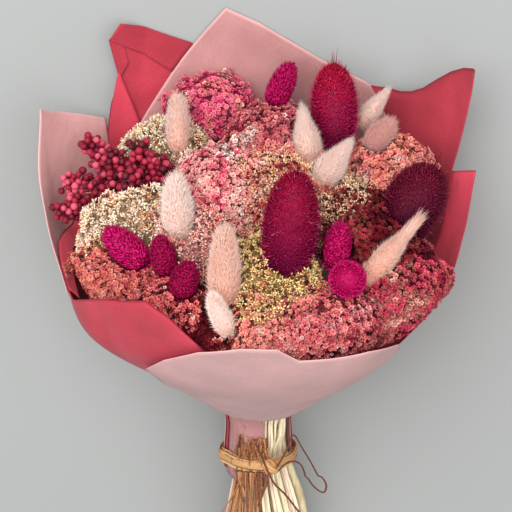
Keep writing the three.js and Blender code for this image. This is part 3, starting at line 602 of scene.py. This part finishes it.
# Each bunch's shades go from its deepest floret to its palest
BUNCHES = {
    "statice_hot_pink": dict(at=(-32, 76), radius=25, depth=13, loose=1.9, dye="hot_pink", shades=[
        (176, 30, 76), (246, 84, 128), (255, 132, 160), (240, 124, 110), (255, 220, 204)]),
    "broom_cream_back": dict(at=(-61, 40), radius=24, dye="cream", shades=[
        (206, 130, 100), (242, 206, 160), (255, 240, 206), (255, 246, 222), (244, 176, 160)]),
    "statice_coral_back": dict(at=(10, 38), radius=28, loose=1.4, dye="coral", shades=[
        (136, 26, 54), (204, 86, 102), (238, 146, 136), (186, 52, 84), (252, 220, 206)]),
    "statice_raspberry": dict(at=(-25, 2), radius=27, dye="raspberry", shades=[
        (198, 50, 86), (255, 112, 134), (255, 174, 168), (255, 196, 182), (255, 240, 228)]),
    "broom_cream_middle": dict(at=(13, -2), radius=27, dye="cream", shades=[
        (188, 50, 64), (230, 112, 102), (246, 196, 142), (255, 230, 194), (228, 88, 98)]),
    "broom_dusty_pink": dict(at=(-38, -32), radius=26, dye="dusty_pink", shades=[
        (200, 100, 96), (244, 168, 158), (255, 212, 198), (240, 120, 112), (255, 190, 170)]),
    "broom_cream_left": dict(at=(-78, -12), radius=28, dye="cream", shades=[
        (226, 140, 96), (250, 210, 162), (255, 248, 228), (255, 238, 206), (248, 190, 150)]),
    "statice_salmon_left": dict(at=(-92, -42), radius=26, dye="salmon", shades=[
        (150, 50, 54), (214, 96, 92), (242, 150, 128), (196, 58, 76), (244, 198, 174)]),
    "statice_salmon_low": dict(at=(-60, -68), radius=25, dye="salmon", shades=[
        (150, 26, 52), (216, 84, 92), (246, 140, 126), (206, 56, 80), (252, 196, 178)]),
    "statice_crimson": dict(at=(-32, -76), radius=22, dye="crimson", shades=[
        (40, 0, 8), (76, 0, 14), (112, 4, 24), (164, 44, 54)]),
    "broom_green_cream": dict(at=(4, -56), radius=27, dye="green_cream", shades=[
        (150, 92, 60), (222, 176, 108), (252, 226, 160), (244, 214, 140), (236, 120, 104)]),
    "statice_salmon_front": dict(at=(2, -84), radius=24, dye="salmon", shades=[
        (196, 80, 74), (248, 142, 128), (255, 182, 162), (240, 110, 112), (255, 222, 198)]),
    "statice_pink_front": dict(at=(41, -80), radius=30, dye="hot_pink", shades=[
        (150, 28, 54), (220, 92, 102), (244, 152, 142), (212, 76, 98), (248, 200, 188)]),
    "statice_crimson_right": dict(at=(88, -49), radius=28, loose=1.4, dye="crimson", shades=[
        (98, 8, 34), (190, 42, 76), (228, 94, 108), (134, 78, 62), (246, 174, 160)]),
    "broom_peach": dict(at=(36, -7), radius=25, dye="peach", shades=[
        (146, 64, 56), (222, 130, 108), (255, 214, 180), (214, 174, 128), (255, 236, 218)]),
    "statice_olive": dict(at=(66, -25), radius=30, loose=1.4, dye="olive", shades=[
        (42, 2, 12), (92, 8, 26), (140, 18, 38), (118, 62, 48), (190, 54, 70)]),
    "statice_coral_right": dict(at=(84, 30), radius=28, dye="coral", shades=[
        (190, 72, 70), (250, 134, 118), (255, 176, 150), (236, 102, 116), (255, 226, 208)]),
}
# Round patches of paler florets: across and up as the bouquet is looked at, and radius
PALE_SPOTS = [(-10, 202, 6.5), (-20, 194.5, 5), (-5, 208, 3.5)]
LUMP_WAVES = [[0.43, -0.21, 0.12], [0.17, 0.40, -0.29], [0.20, 0.24, 0.47]]
WRAP_PROFILE = [
    (-20, 22.5), (0, 20.5), (40, 24), (78, 58), (100, 84), (130, 109), (165, 122), (205, 131), (245, 137),
    (300, 142),
]
TABLE_BEHIND_TIE = 53


def dome_height(x, y):
    """The height that the flowers' tops reach: low at the front rim and high at the back."""
    return 215 + 0.415 * y - 0.00285 * y**2 - 0.00227 * x**2


def between(table, at):
    return np.interp(at, [a for a, _ in table], [b for _, b in table])


def bowl(height, is_back):
    """The inmost paper's radius at a height, eased over 18 mm, and how much flatter it is than a circle."""
    radius = sum(between(WRAP_PROFILE, height + step) for step in (-9, -3, 3, 9)) / 4
    return radius, 1 + (np.where(is_back, 0.8, 0.92) - 1) * rising(height, 40, 60)


def lobes(degrees, height):
    """How far the papers stand out from a round bowl: out at the lower left, in at the lower right."""
    left = ((degrees + 300) % 360 - 180) / 17
    right = ((degrees + 60) % 360 - 180) / 15
    fall = ((height - 127) / 30) ** 2
    return 9 * np.exp(-(left**2) - fall) - 5 * np.exp(-(right**2) - fall)


def room(points):
    """How far inside the inmost paper and off the table each point is, in mm."""
    x, y, z = points.T
    radius, squash = bowl(z, y > 0)
    radius = radius + np.minimum(lobes(np.degrees(np.arctan2(x, y)), z), 0)
    return np.minimum(radius - np.hypot(x, y / squash), TABLE_BEHIND_TIE + z * np.tan(LYING_TILT) - y)


def floret_stalk(width):
    """A stalk down Z from a floret: a three-sided point, widest at its top."""
    stalk_point = thorn(2.2, width)
    stalk_point.points = stalk_point.points * [1, -1, -1] + [0, 0, 0.12]
    stalk_point.run = 0.3 - 0.3 * stalk_point.run
    return stalk_point


def petal_cup():
    """A floret of width 2: five petals round Z, each a thin wedge of root, left, right and tip."""
    turn = 2 * np.pi * np.arange(5) / 5
    out, aside, up = np.array([[0.10, 0.72, 0.72, 1.0], [0.0, 0.44, -0.44, 0.0], [0.0, 0.30, 0.26, 0.46]])
    c, s = np.cos(turn)[:, None], np.sin(turn)[:, None]
    points = np.stack([out * c - aside * s, out * s + aside * c, up + 0 * c], -1)
    faces = np.array([[0, 2, 1], [1, 2, 3], [0, 3, 2], [0, 1, 3]]) + 4 * np.arange(5)[:, None, None]
    return Form(points, faces, np.tile([0.45, 0.85, 0.85, 1.0], 5)) + floret_stalk(0.3)


def husks():
    """A cluster of width 2: four small pointed husks that spread from one point."""
    ways = unit([[0.1, 0.0, 1.0], [0.9, 0.2, 0.6], [-0.6, 0.8, 0.5], [-0.4, -0.9, 0.7]])
    husk = bract(1.1, 0.62, 0.3)
    husk.run = np.array([0.3, 0.8, 0.8, 1.0, 0.95, 0.5])
    toward = np.roll(ways, 1, 1)
    return copies(husk, 0.15 * ways, ways, toward, [1.0, 0.9, 1.05, 0.8], 0.0) + floret_stalk(0.2)


def in_heads(points):
    """Whether each point lies in one of the large heads, taken as ellipsoids, or just in front of it."""
    found = np.zeros(len(points), bool)
    front = np.array([0.0, -0.87, 0.5])
    for head in [*TEASELS.values(), *MAGENTA_HEADS.values(), *TAILS.values()]:
        axis = unit(head["axis"])
        off = points - np.array(head["at"])
        off = off - np.clip(off @ front, 0, 9)[:, None] * front
        height = off @ axis
        away = np.linalg.norm(off - height[:, None] * axis, axis=1)
        found |= (height / (head["length"] / 2 + 1)) ** 2 + (away / (head["width"] / 2 + 2)) ** 2 < 1
    return found


bunch_middles = {}
for name, bunch in BUNCHES.items():
    x, y = bunch["at"]
    bunch_middles[name] = np.array([x, y, dome_height(x, y) - bunch.get("depth", BUNCH_DEPTH)])


def merging(name, places, outward):
    """How far a bunch's florets rise where it meets others, and their distances from those. Each is lifted
    until its own lift and its distances, each taken as exp(-distance / blend), add up to one."""
    others = [other for other in BUNCHES if other != name]
    centres = np.array([bunch_middles[other] for other in others])
    reaches = np.array([0.88 * BUNCHES[other]["radius"] + 3 for other in others])
    lift = np.zeros(len(places))
    for _ in range(4):
        lifted = places + (2 + lift)[:, None] * outward
        gaps = np.linalg.norm(lifted[:, None] - centres, axis=2) - reaches
        joined = np.exp(-lift / BLEND) + np.exp(-gaps / BLEND).sum(1)
        lift = np.clip(lift + BLEND * np.log(joined), 0, 7)
    return lift, gaps


def pressed_in(tops):
    """Florets pressed in where they would pass through the paper, most where the right side stands clear of
    it, and whether each has room. At the left and the right front they spill over the paper's rim."""
    for _ in range(3):
        height = tops[:, 2]
        turn = np.degrees(np.arctan2(tops[:, 0], tops[:, 1]))
        rim = 138 - 0.8 * np.clip(turn - 115, 0, 15)
        front = rising(turn, 90, 8) * rising(turn, 136, -10) * rising(height, rim, 8)
        left = (np.abs(turn + 85) < 25) & (height > 161)
        clear = 3.5 + 14 * rising(tops[:, 0], 60, 40) * rising(height, 165, 20)
        clear = np.where(left, -3, clear - (clear + 6) * front)
        short = np.clip(clear - room(tops), 0, 14)
        tops = tops - short[:, None] * unit(tops * [1, 1, 0])
    return tops, (front > 0) | left | (room(tops) > 2)


def crowd(name, shape, size, spacing, draw):
    """Florets over a bunch's egg, and its core. Soft lumps move florets in and out, and thin them where they
    are lowest. None stands in a large head or a berry, or deep below the dome."""
    bunch, middle = BUNCHES[name], bunch_middles[name]
    radius = bunch["radius"]
    ball = strewn(draw, int(11 * radius**2 / spacing**2), 0.3 * spacing / radius)
    ball = ball[ball[:, 2] > -0.6]
    count = len(ball)
    places, outward = egg(ball, 1.75 * radius, 2 * radius, BUNCH_TAPER)
    places, outward = turned(places, middle, middle), turned(outward, middle)
    lift, gaps = merging(name, places, outward)
    waves = places @ np.array(LUMP_WAVES)
    lumps = np.sin(waves + middle).mean(1)
    fine = np.sin(2.3 * waves + 2).mean(1)
    rise = 2.2 + lift + bunch.get("loose", 1.0) * (2.2 * lumps + 1.3 * fine) + 0.7 * draw.normal(size=count)
    free = places + rise[:, None] * outward
    tops, has_room = pressed_in(free)
    pressed = np.linalg.norm(tops - free, axis=1)
    lumps = lumps + fine
    shown = (tops[:, 2] > dome_height(tops[:, 0], tops[:, 1]) - 30) & (gaps.min(1) > -1.5) & has_room
    shown &= ((lumps > -0.55) & (pressed < 7)) | (draw.random(count) > 0.5)
    shown &= ~in_heads(tops)
    shown &= np.linalg.norm(tops[:, None] - berry_places, axis=2).min(1) > 4.6
    outward, tops, lumps = outward[shown], tops[shown], lumps[shown]
    ways = unit(outward + 0.4 * draw.normal(size=tops.shape))
    sizes = size * (0.7 + 0.55 * draw.random(len(tops)))
    across, up = tops[:, 0], 0.5 * tops[:, 1] + 0.866 * tops[:, 2]
    spots = np.array([np.hypot(across - x, up - level) / reach for x, level, reach in PALE_SPOTS])
    seeds = draw.random(len(tops)) + 1.6 * (spots.min(0) < 0.3 + 1.1 * draw.random(len(tops)))
    florets = copies(shape, tops, ways, draw.normal(size=tops.shape), sizes, seeds)
    # Florets in the low places between lumps take a shorter run, and so more painted shade at their roots.
    florets.run = florets.run * np.repeat(np.clip(0.9 + 0.25 * lumps, 0.45, 1), len(shape.points))
    core = egg_form(1.75 * radius - 2, 2 * radius - 2, BUNCH_TAPER, seed=0.2, skin=2)
    core.points = turned(core.points, middle, middle)
    for _ in range(6):
        pinch = np.maximum(np.clip(7.5 - room(core.points), 0, 8), 2.5 * in_heads(core.points))[:, None]
        core.points = core.points + pinch * unit(middle - [0, 0, 0.3 * radius] - core.points)
    return florets + core


for name, bunch in BUNCHES.items():
    draw = np.random.default_rng(sum(map(ord, name)))
    middle = bunch_middles[name]
    shape, size, spacing = (husks(), 1.95, 1.85) if name.startswith("broom") else (petal_cup(), 1.6, 1.62)
    form = crowd(name, shape, size, spacing, draw)
    foot = middle - unit(middle) * bunch["radius"] * 0.8
    form = form + stems(name, foot, unit(middle), 4, 0.95)
    deepest, next_shade = np.array(bunch["shades"][:2])
    dye = Finish(name + "_dye")
    broad, fine = dye.noise(75.0), dye.noise(700.0)
    tone = 0.5 * dye.mark("seed") + 2.0 * broad + 0.2 * fine - 0.85
    # depth mixes each floret, at its root and on its stalk, into a dimmed copy of the bunch's deepest
    # colour: painted shade between the florets.
    depth = dye.mark("run") * 1.15 - 0.1
    floret_skin = dye.surface(
        Base_Color=dye.blend(depth, linear(0.62 * deepest), dye.ramp(tone, bunch["shades"])),
        Roughness=0.62 + 0.25 * fine,
    )
    # The core under the florets is drawn as painted shade: a mottle between dimmed copies of the bunch's two
    # deepest colours.
    inside = Finish(name + "_inside")
    mottle = inside.noise(260.0)
    core_shade_skin = inside.surface(
        Base_Color=inside.ramp(mottle, [0.4 * deepest, 0.7 * next_shade], (0.3, 0.7)),
        Roughness=0.9,
        Normal=inside.bump(mottle, 0.002),
    )
    finishes = [floret_skin, stalk_skin, core_shade_skin]
    build(name + "_florets", form, finishes, name, smooth=False)

# Paper wrap
# Six sheets of thin dyed florist's paper, red and pink, wrapped round the stems one outside the other,
# gathered in pleats at the tie and flared into a bowl. Their edges are cut clean and buckle a little, and
# the red sheet's upper corner and left edge are folded over.
PAPER = 0.4
# left and right give the angle of a sheet's sides at some heights, and rim the height of its top at some
# angles, in degrees from the back, clockwise from above, and in mm
# A sheet's tone picks a lighter or darker copy of its paper's colour for the light the sheet catches:
# painted light and shade.
SHEETS = {
    "pink_paper_back": dict(
        layer=0, foot=-12, tone=0.1,
        left=[(-12, -192), (38, -188), (60, -165), (110, -100), (178, -60), (300, -58)],
        right=[(-12, 84), (45, 80), (110, 70), (180, 50), (215, 36), (230, 31), (300, 29)],
        rim=[(-60, 150), (-45, 178), (-38, 199), (-24, 238), (-18, 254), (-9, 278), (0, 268), (17, 244),
             (31, 229), (36, 222)],
    ),
    "red_paper_left": dict(
        layer=1, foot=-10, tone=0.56,
        left=[(-10, -98), (50, -104), (108, -146), (150, -165)],
        right=[(-10, 8), (300, 10)],
        rim=[(-165, 150), (-156, 174), (-150, 183), (-135, 172), (-116, 151), (-105, 158), (-92, 164),
             (-75, 160), (-60, 168), (-48.5, 191), (-47, 203), (-44.4, 219), (-41, 234), (-40.2, 244),
             (-39.4, 262), (-38, 269), (-17, 253), (10, 240)],
    ),
    "red_paper_right_back": dict(
        layer=1, foot=-10, tone=0.52,
        left=[(-10, 18), (300, 20)],
        right=[(-10, 72), (150, 74), (190, 67), (300, 65)],
        rim=[(20, 232), (28, 228), (34, 226), (41, 226.5), (45, 229), (49, 234), (53, 242), (57, 249.5),
             (61, 254.5), (65, 257), (74, 250)],
    ),
    "red_paper_right_front": dict(
        layer=2, foot=45, tone=1.0,
        left=[(45, 70), (184, 61), (300, 60)],
        right=[(45, 140), (110, 150)],
        rim=[(60, 183), (77, 199), (81, 180), (86, 158), (94, 140), (103, 122), (114, 111), (124, 104),
             (150, 100)],
    ),
    "pink_paper_left": dict(
        layer=2, foot=-8, tone=0.5,
        left=[(-8, -92), (142, -104)],
        right=[(-8, -50), (300, -44)],
        rim=[(-104, 142), (-98, 156), (-88, 182), (-81, 208), (-76.5, 224), (-73, 237), (-66.5, 230),
             (-44, 208)],
    ),
    "pink_paper_front": dict(
        layer=3, foot=50, tone=0.9,
        left=[(50, 118), (300, 112)],
        right=[(50, 236), (110, 217)],
        rim=[(112, 100), (124, 112), (138, 140), (150, 146), (170, 149), (176, 160), (185, 161),
             (196, 155), (207, 141), (217, 123)],
    ),
}
# A fold's tone, as a sheet's, picks a lighter or darker red; the second fold is drawn lighter as painted
# light.
RED_FOLDS = [
    dict(out=-1.0, tone=0.52, corners=[(-43.0, 262.5), (-39.0, 271.5), (-17.0, 255.0), (-24.1, 236.5)]),
    dict(
        out=-1.0, tone=0.78,
        corners=[(-48.6, 190.0), (-44.6, 219.0), (-41.2, 241.0), (-35.9, 201.0), (-40.1, 181.0)],
    ),
    dict(out=0.1, tone=0.56, corners=[(-42.9, 262.4), (-38.6, 261.0), (-37.5, 244.0), (-40.9, 234.5)]),
]
HEM_TURNS = (-112, -60)
HEM_DEPTH = 8


def wrap(degrees, height, layer, out, thick):
    """The bowl that every sheet follows: at each height a ring, flattened at the back and front, a step
    further out for each layer, and pressed flat where it would pass through the table."""
    turn = np.radians(degrees)
    radius, squash = bowl(height, np.cos(turn) > 0)
    waves = 2.2 * rising(height, 190, 50) * np.sin(degrees / 6.5 + height / 60)
    off = layer * (1.5 + 1.4 * np.maximum(0, (height - 60) / 100))
    off = off + (waves + lobes(degrees, height) + out + thick)
    x = (radius + off) * np.sin(turn)
    y = (radius * squash + off) * np.cos(turn)
    table = TABLE_BEHIND_TIE + height * np.tan(LYING_TILT) + layer * 1.5 + np.minimum(out, 0.6) + thick
    return np.stack([x, np.minimum(y, table), height + 0 * x], -1)


def thin_sheet(degrees, height, layer, out, tone):
    """A thin closed sheet over a grid of angles and heights, with columns from left to right and rows from
    foot to rim: an inner and an outer face, and a wall round the edge."""
    points = np.vstack([wrap(degrees, height, layer, out, thick).reshape(-1, 3) for thick in (0, PAPER)])
    tall, width = degrees.shape
    far = width * tall
    corners = np.arange(far).reshape(tall, width)
    inward = squares(corners)
    edge = np.concatenate([corners[0], corners[1:, -1], corners[-1, -2::-1], corners[-2::-1, 0]])
    wall = squares(np.stack([edge, edge + far], 1))
    run = np.tile(np.repeat(np.linspace(0, 1, tall), width), 2)
    return Form(points, np.concatenate([inward, inward[:, ::-1] + far, wall]), run, tone)


def sheet_form(sheet, rows=34, columns=70):
    """A sheet: each column's top is where the rim's height at its angle and the angle at its height agree,
    found by halving the difference in turn."""
    left, right, rim = sheet["left"], sheet["right"], sheet["rim"]
    corners = [(a - between(left, z)) / (between(right, z) - between(left, z)) for a, z in rim]
    corners = [corner for corner in corners if 0.005 < corner < 0.995]
    shares = np.unique(np.concatenate([np.linspace(0, 1, columns), corners]))
    tops = np.full(len(shares), 200.0)
    for _ in range(40):
        tops = (tops + between(rim, between(left, tops) * (1 - shares) + between(right, tops) * shares)) / 2
    u, v = np.meshgrid(shares, np.linspace(0, 1, rows))
    height = sheet["foot"] + (tops - sheet["foot"]) * v
    degrees = between(left, height) * (1 - u) + between(right, height) * u
    buckle = 0.55 * np.sin(degrees / 9.0 + height / 37) + 0.4 * np.sin(degrees / 5.3 - height / 29 + 2) * v
    pleats = 0.45 * np.sin(np.radians(degrees) * 26 + 1.5 * np.sin(height / 30))
    out = 0.6 + rising(height, 90, 90) * buckle + rising(height, 95, -70) * pleats
    return thin_sheet(degrees, height, sheet["layer"], out, sheet["tone"])


def fold(out, tone, corners):
    """A folded-over corner of the red sheet: a fan of corners round the first, filled by lines to it."""
    loop = np.array(corners, float)
    along = np.linspace(0, len(loop) - 2, 24)
    far = np.stack([np.interp(along, np.arange(len(loop) - 1), loop[1:, k]) for k in (0, 1)], -1)
    grid = loop[0] + (far[::-1] - loop[0]) * np.linspace(0.02, 1, 16)[:, None, None]
    degrees, height = grid.transpose(2, 1, 0)[:, ::-1]
    return thin_sheet(degrees, height, 1, out, tone)


# Each paper's colours are one dye drawn lighter or darker: painted light and shade. The pink front sheet's
# greyer colour is partly the paper's outer face, partly painted shade.
PAPERS = {
    "pink_paper": dict(colours=[(154, 106, 105), (212, 158, 156), (164, 132, 131)], edge=(226, 177, 174)),
    "red_paper": dict(colours=[(140, 38, 52), (151, 45, 58), (230, 78, 98)], edge=(112, 14, 34)),
}
paper_skins = {}
for slot, dyed in PAPERS.items():
    paper = Finish(slot)
    fibres = paper.noise(1400.0, 5.0)
    tone = paper.mark("seed") + (paper.noise(22.0, 2.0) - 0.5) * 0.4 + (fibres - 0.5) * 0.3
    creases = paper.noise(14.0, 2.0, (1.0, 0.25, 1.0))
    edge = (paper.mark("run") - 0.99) * 70
    paper_skins[slot] = paper.surface(
        Base_Color=paper.blend(edge, paper.ramp(tone, dyed["colours"]), linear(dyed["edge"])),
        Roughness=0.72 + 0.15 * fibres,
        Sheen_Weight=0.08,
        Normal=paper.bump(fibres + 3.0 * paper.noise(90.0) + 60.0 * creases, 0.00025),
    )
for name, sheet in SHEETS.items():
    form = sheet_form(sheet)
    if name == "red_paper_left":
        for folded in RED_FOLDS:
            form = form + fold(**folded)
        # A strip along the left of the rim, drawn in the lightest red: painted light.
        turns, share = np.meshgrid(np.linspace(*HEM_TURNS, 32), np.linspace(0, 1, 8))
        heights = between(sheet["rim"], turns) - HEM_DEPTH * (1 - share)
        form = form + thin_sheet(turns, heights, 1, -5 * (1 - share), 1.0)
    slot = name.split("_paper")[0] + "_paper"
    build(name + "_sheet", form, [paper_skins[slot]], name)

# Raffia tie
# Several flat strands of natural raffia, wound over one another round the paper's neck and knotted in front,
# with brown shreds round them, frayed ends that hang over the stems and a thin wiry loop at the right.
NECK_LAYERS = [(-110, 1.6), (-98, 4.6), (-46, 4.6), (-34, 3.1), (74, 3.1), (92, 0.8), (150, 0.8), (164, 1.6)]
RAFFIA_COLOURS = [(96, 56, 40), (160, 104, 66), (186, 138, 92), (214, 178, 130)]
RAFFIA_PLACES = (0.0, 0.3, 0.6, 1.0)
LOOP = [
    (10, -25, 3), (20, -23, 18), (26, -21, 27), (32, -20, 14), (38, -19, -3), (41, -18, -13), (38, -18, -20),
    (32, -19, -12), (28, -20, 4), (20, -23, 8), (11, -26, 2),
]
SLANTING_STRAND = [(-4, -25.5, 26), (2, -27, 12), (9, -31, -2), (17, -30, -15), (26, -31, -34)]
WINDINGS = 14
SHREDS = 130
FRAYED_ENDS = 16

raffia = Finish("raffia_fibre")
fibre = raffia.noise(1200.0, 4.0, (0.5, 1.0, 1.0))
raffia_skin = raffia.surface(
    Base_Color=raffia.ramp(raffia.mark("seed") + (fibre - 0.5) * 0.5, RAFFIA_COLOURS, RAFFIA_PLACES),
    Roughness=0.5 + 0.3 * fibre,
    Normal=raffia.bump(fibre, 0.0003),
)


def neck_point(degrees, height, out):
    """A point out from the papers' neck, and the direction out of it."""
    turn = np.radians(degrees)
    radius = bowl(height, False)[0] + between(NECK_LAYERS, (degrees + 196) % 360 - 196) + out
    facing = np.stack([np.sin(turn), np.cos(turn), 0 * height], -1)
    return radius[..., None] * facing + height[..., None] * UP, facing


def wound(start, turns, height, rise, out, width, seed):
    """A flat strand wound round the neck, a little higher in front, rising as it goes."""
    share = np.linspace(0, 1, int(44 * turns))
    degrees = start + 360 * turns * share
    sway = 0.5 * np.sin(share * 17 + seed * 9)
    z = height + rise * (share - 0.5) + sway - 6.0 * np.cos(np.radians(degrees))
    path, facing = neck_point(degrees, z, out)
    return tubes(path, width / 2, 6, seed, flat=0.14, facing=facing)


draw = np.random.default_rng(5)
form = wound(-200, 1.2, 0.0, 1.0, 2.6, 5.0, 0.62)
for k in range(WINDINGS):
    form = form + wound(
        draw.uniform(-200, 160), draw.uniform(1.0, 2.0), draw.uniform(-4.0, 4.0), draw.uniform(-3, 3),
        0.5 + 0.15 * k, draw.uniform(1.4, 3.2), draw.uniform(0.3, 0.95),
    )
share = np.linspace(0, 1, 9)
for k in range(SHREDS):
    degrees = draw.uniform(166, 222) + draw.normal() * 7 * share
    z = draw.uniform(8, 28) - draw.uniform(8, 26) * share
    path, facing = neck_point(degrees, z, draw.uniform(0.4, 2.2) + 0.8 * np.sin(3 * share + k))
    width = draw.uniform(0.35, 0.9) * (1 - 0.6 * share)
    form = form + tubes(path, width, 5, draw.uniform(0.0, 0.45), flat=0.3, facing=facing)
for k in range(FRAYED_ENDS):
    start = np.array([draw.uniform(-16, 8), -24.5 - draw.random() * 2, 2.0])
    reach, lean = draw.uniform(20, 58), draw.normal() * 9
    falls = np.array([(0, 0, 0), (0.2, -2.0, -0.3), (0.6, -3.0, -0.65), (1, -3.5, -1)]) * (lean, 1, reach)
    width = draw.uniform(0.5, 1.5) * (1 - 0.5 * np.linspace(0, 1, 20))
    facing = np.array([0.25 * np.sin(k), -1.0, 0.1])
    form = form + tubes(eased(start + falls, 20), width, 6, draw.uniform(0.0, 0.5), flat=0.25, facing=facing)
form = form + tubes(eased(LOOP, 70), 0.6, 6, -0.5) + tubes(eased(SLANTING_STRAND, 40), 0.7, 6, -0.2)
turn = np.linspace(0, 2 * np.pi, 34)
for k in range(3):
    knot = np.stack([
        7 + (3.2 + 0.6 * k) * np.cos(turn + k),
        -25.6 - 1.2 * np.sin(turn * 2 + k) - 0.8 * k,
        6 + (4.6 - 0.7 * k) * np.sin(turn),
    ], 1)
    form = form + tubes(knot, 1.5 - 0.2 * k, 6, 0.45 + 0.12 * k, flat=0.5, facing=np.array([0.2, -1.0, 0.0]))
build("raffia_strands", form, [raffia_skin], "raffia_tie")

# Table, light and camera
# A plain pale grey surface with soft light from above and a little to the left. The camera looks down on the
# bouquet as the photograph looks at it.
LAMPS_AIM = np.array([0.0, 0.08, 0.08])
LAMP_SIZE = 1.4
EYE = (-2.684, 131.516, 1100.0)
EYE_PITCH = np.radians(60)
PIXELS = 512
PIXEL = 0.61  # mm
PIXEL_DISTANCE = 1000  # mm from the eye, where a pixel is 0.61 mm wide

ground = bpy.data.meshes.new("table")
corners = [(-4, -4, -0.0003), (4, -4, -0.0003), (4, 4, -0.0003), (-4, 4, -0.0003)]
ground.from_pydata(corners, [], [(0, 1, 2, 3)])
table = bpy.data.objects.new("table", ground)
bpy.context.scene.collection.objects.link(table)
ground.materials.append(Finish("pale_table").surface(Base_Color=linear((148, 150, 149)), Roughness=0.9))

world = bpy.data.worlds.new("soft_room")
world.use_nodes = True
world.node_tree.nodes["Background"].inputs["Color"].default_value = (1.0, 1.0, 1.0, 1.0)
world.node_tree.nodes["Background"].inputs["Strength"].default_value = 0.7
bpy.context.scene.world = world


def add(thing, right, above, back, place):
    """Adds a lamp or the camera at a place, with the directions to its right, above it and behind it."""
    bpy.context.scene.collection.objects.link(thing)
    thing.matrix_world = Matrix(np.transpose([right, above, back, place]).tolist() + [[0, 0, 0, 1]])


def lamp(name, place, power):
    """A square soft light at a place in the frame, turned to face the bouquet."""
    light = bpy.data.objects.new(name, bpy.data.lights.new(name, "AREA"))
    light.data.size = LAMP_SIZE
    light.data.energy = power
    back = unit(np.array(place) - LAMPS_AIM)
    right = unit(np.cross((0.0, 1.0, 0.0), back))
    add(light, right, np.cross(back, right), back, place)


def facing_point(across, up, towards):
    """A point given across, up and towards the viewer of the photograph, in mm from the tie."""
    sine, cosine = np.sin(EYE_PITCH), np.cos(EYE_PITCH)
    return laid((across, up * cosine - towards * sine, up * sine + towards * cosine))


lamp("key", (-0.42, 0.82, 1.5), 36.0)
lamp("fill", (0.6, 0.12, 1.5), 11.5)
camera = bpy.data.objects.new("camera", bpy.data.cameras.new("camera"))
right = unit(facing_point(1, 0, 0) - facing_point(0, 0, 0))
above = unit(facing_point(0, 1, 0) - facing_point(0, 0, 0))
add(camera, right, above, np.cross(right, above), facing_point(*EYE))
camera.data.angle = 2 * np.arctan(PIXELS * PIXEL / 2 / PIXEL_DISTANCE)
bpy.context.scene.camera = camera
bpy.context.scene.view_settings.view_transform = "Standard"
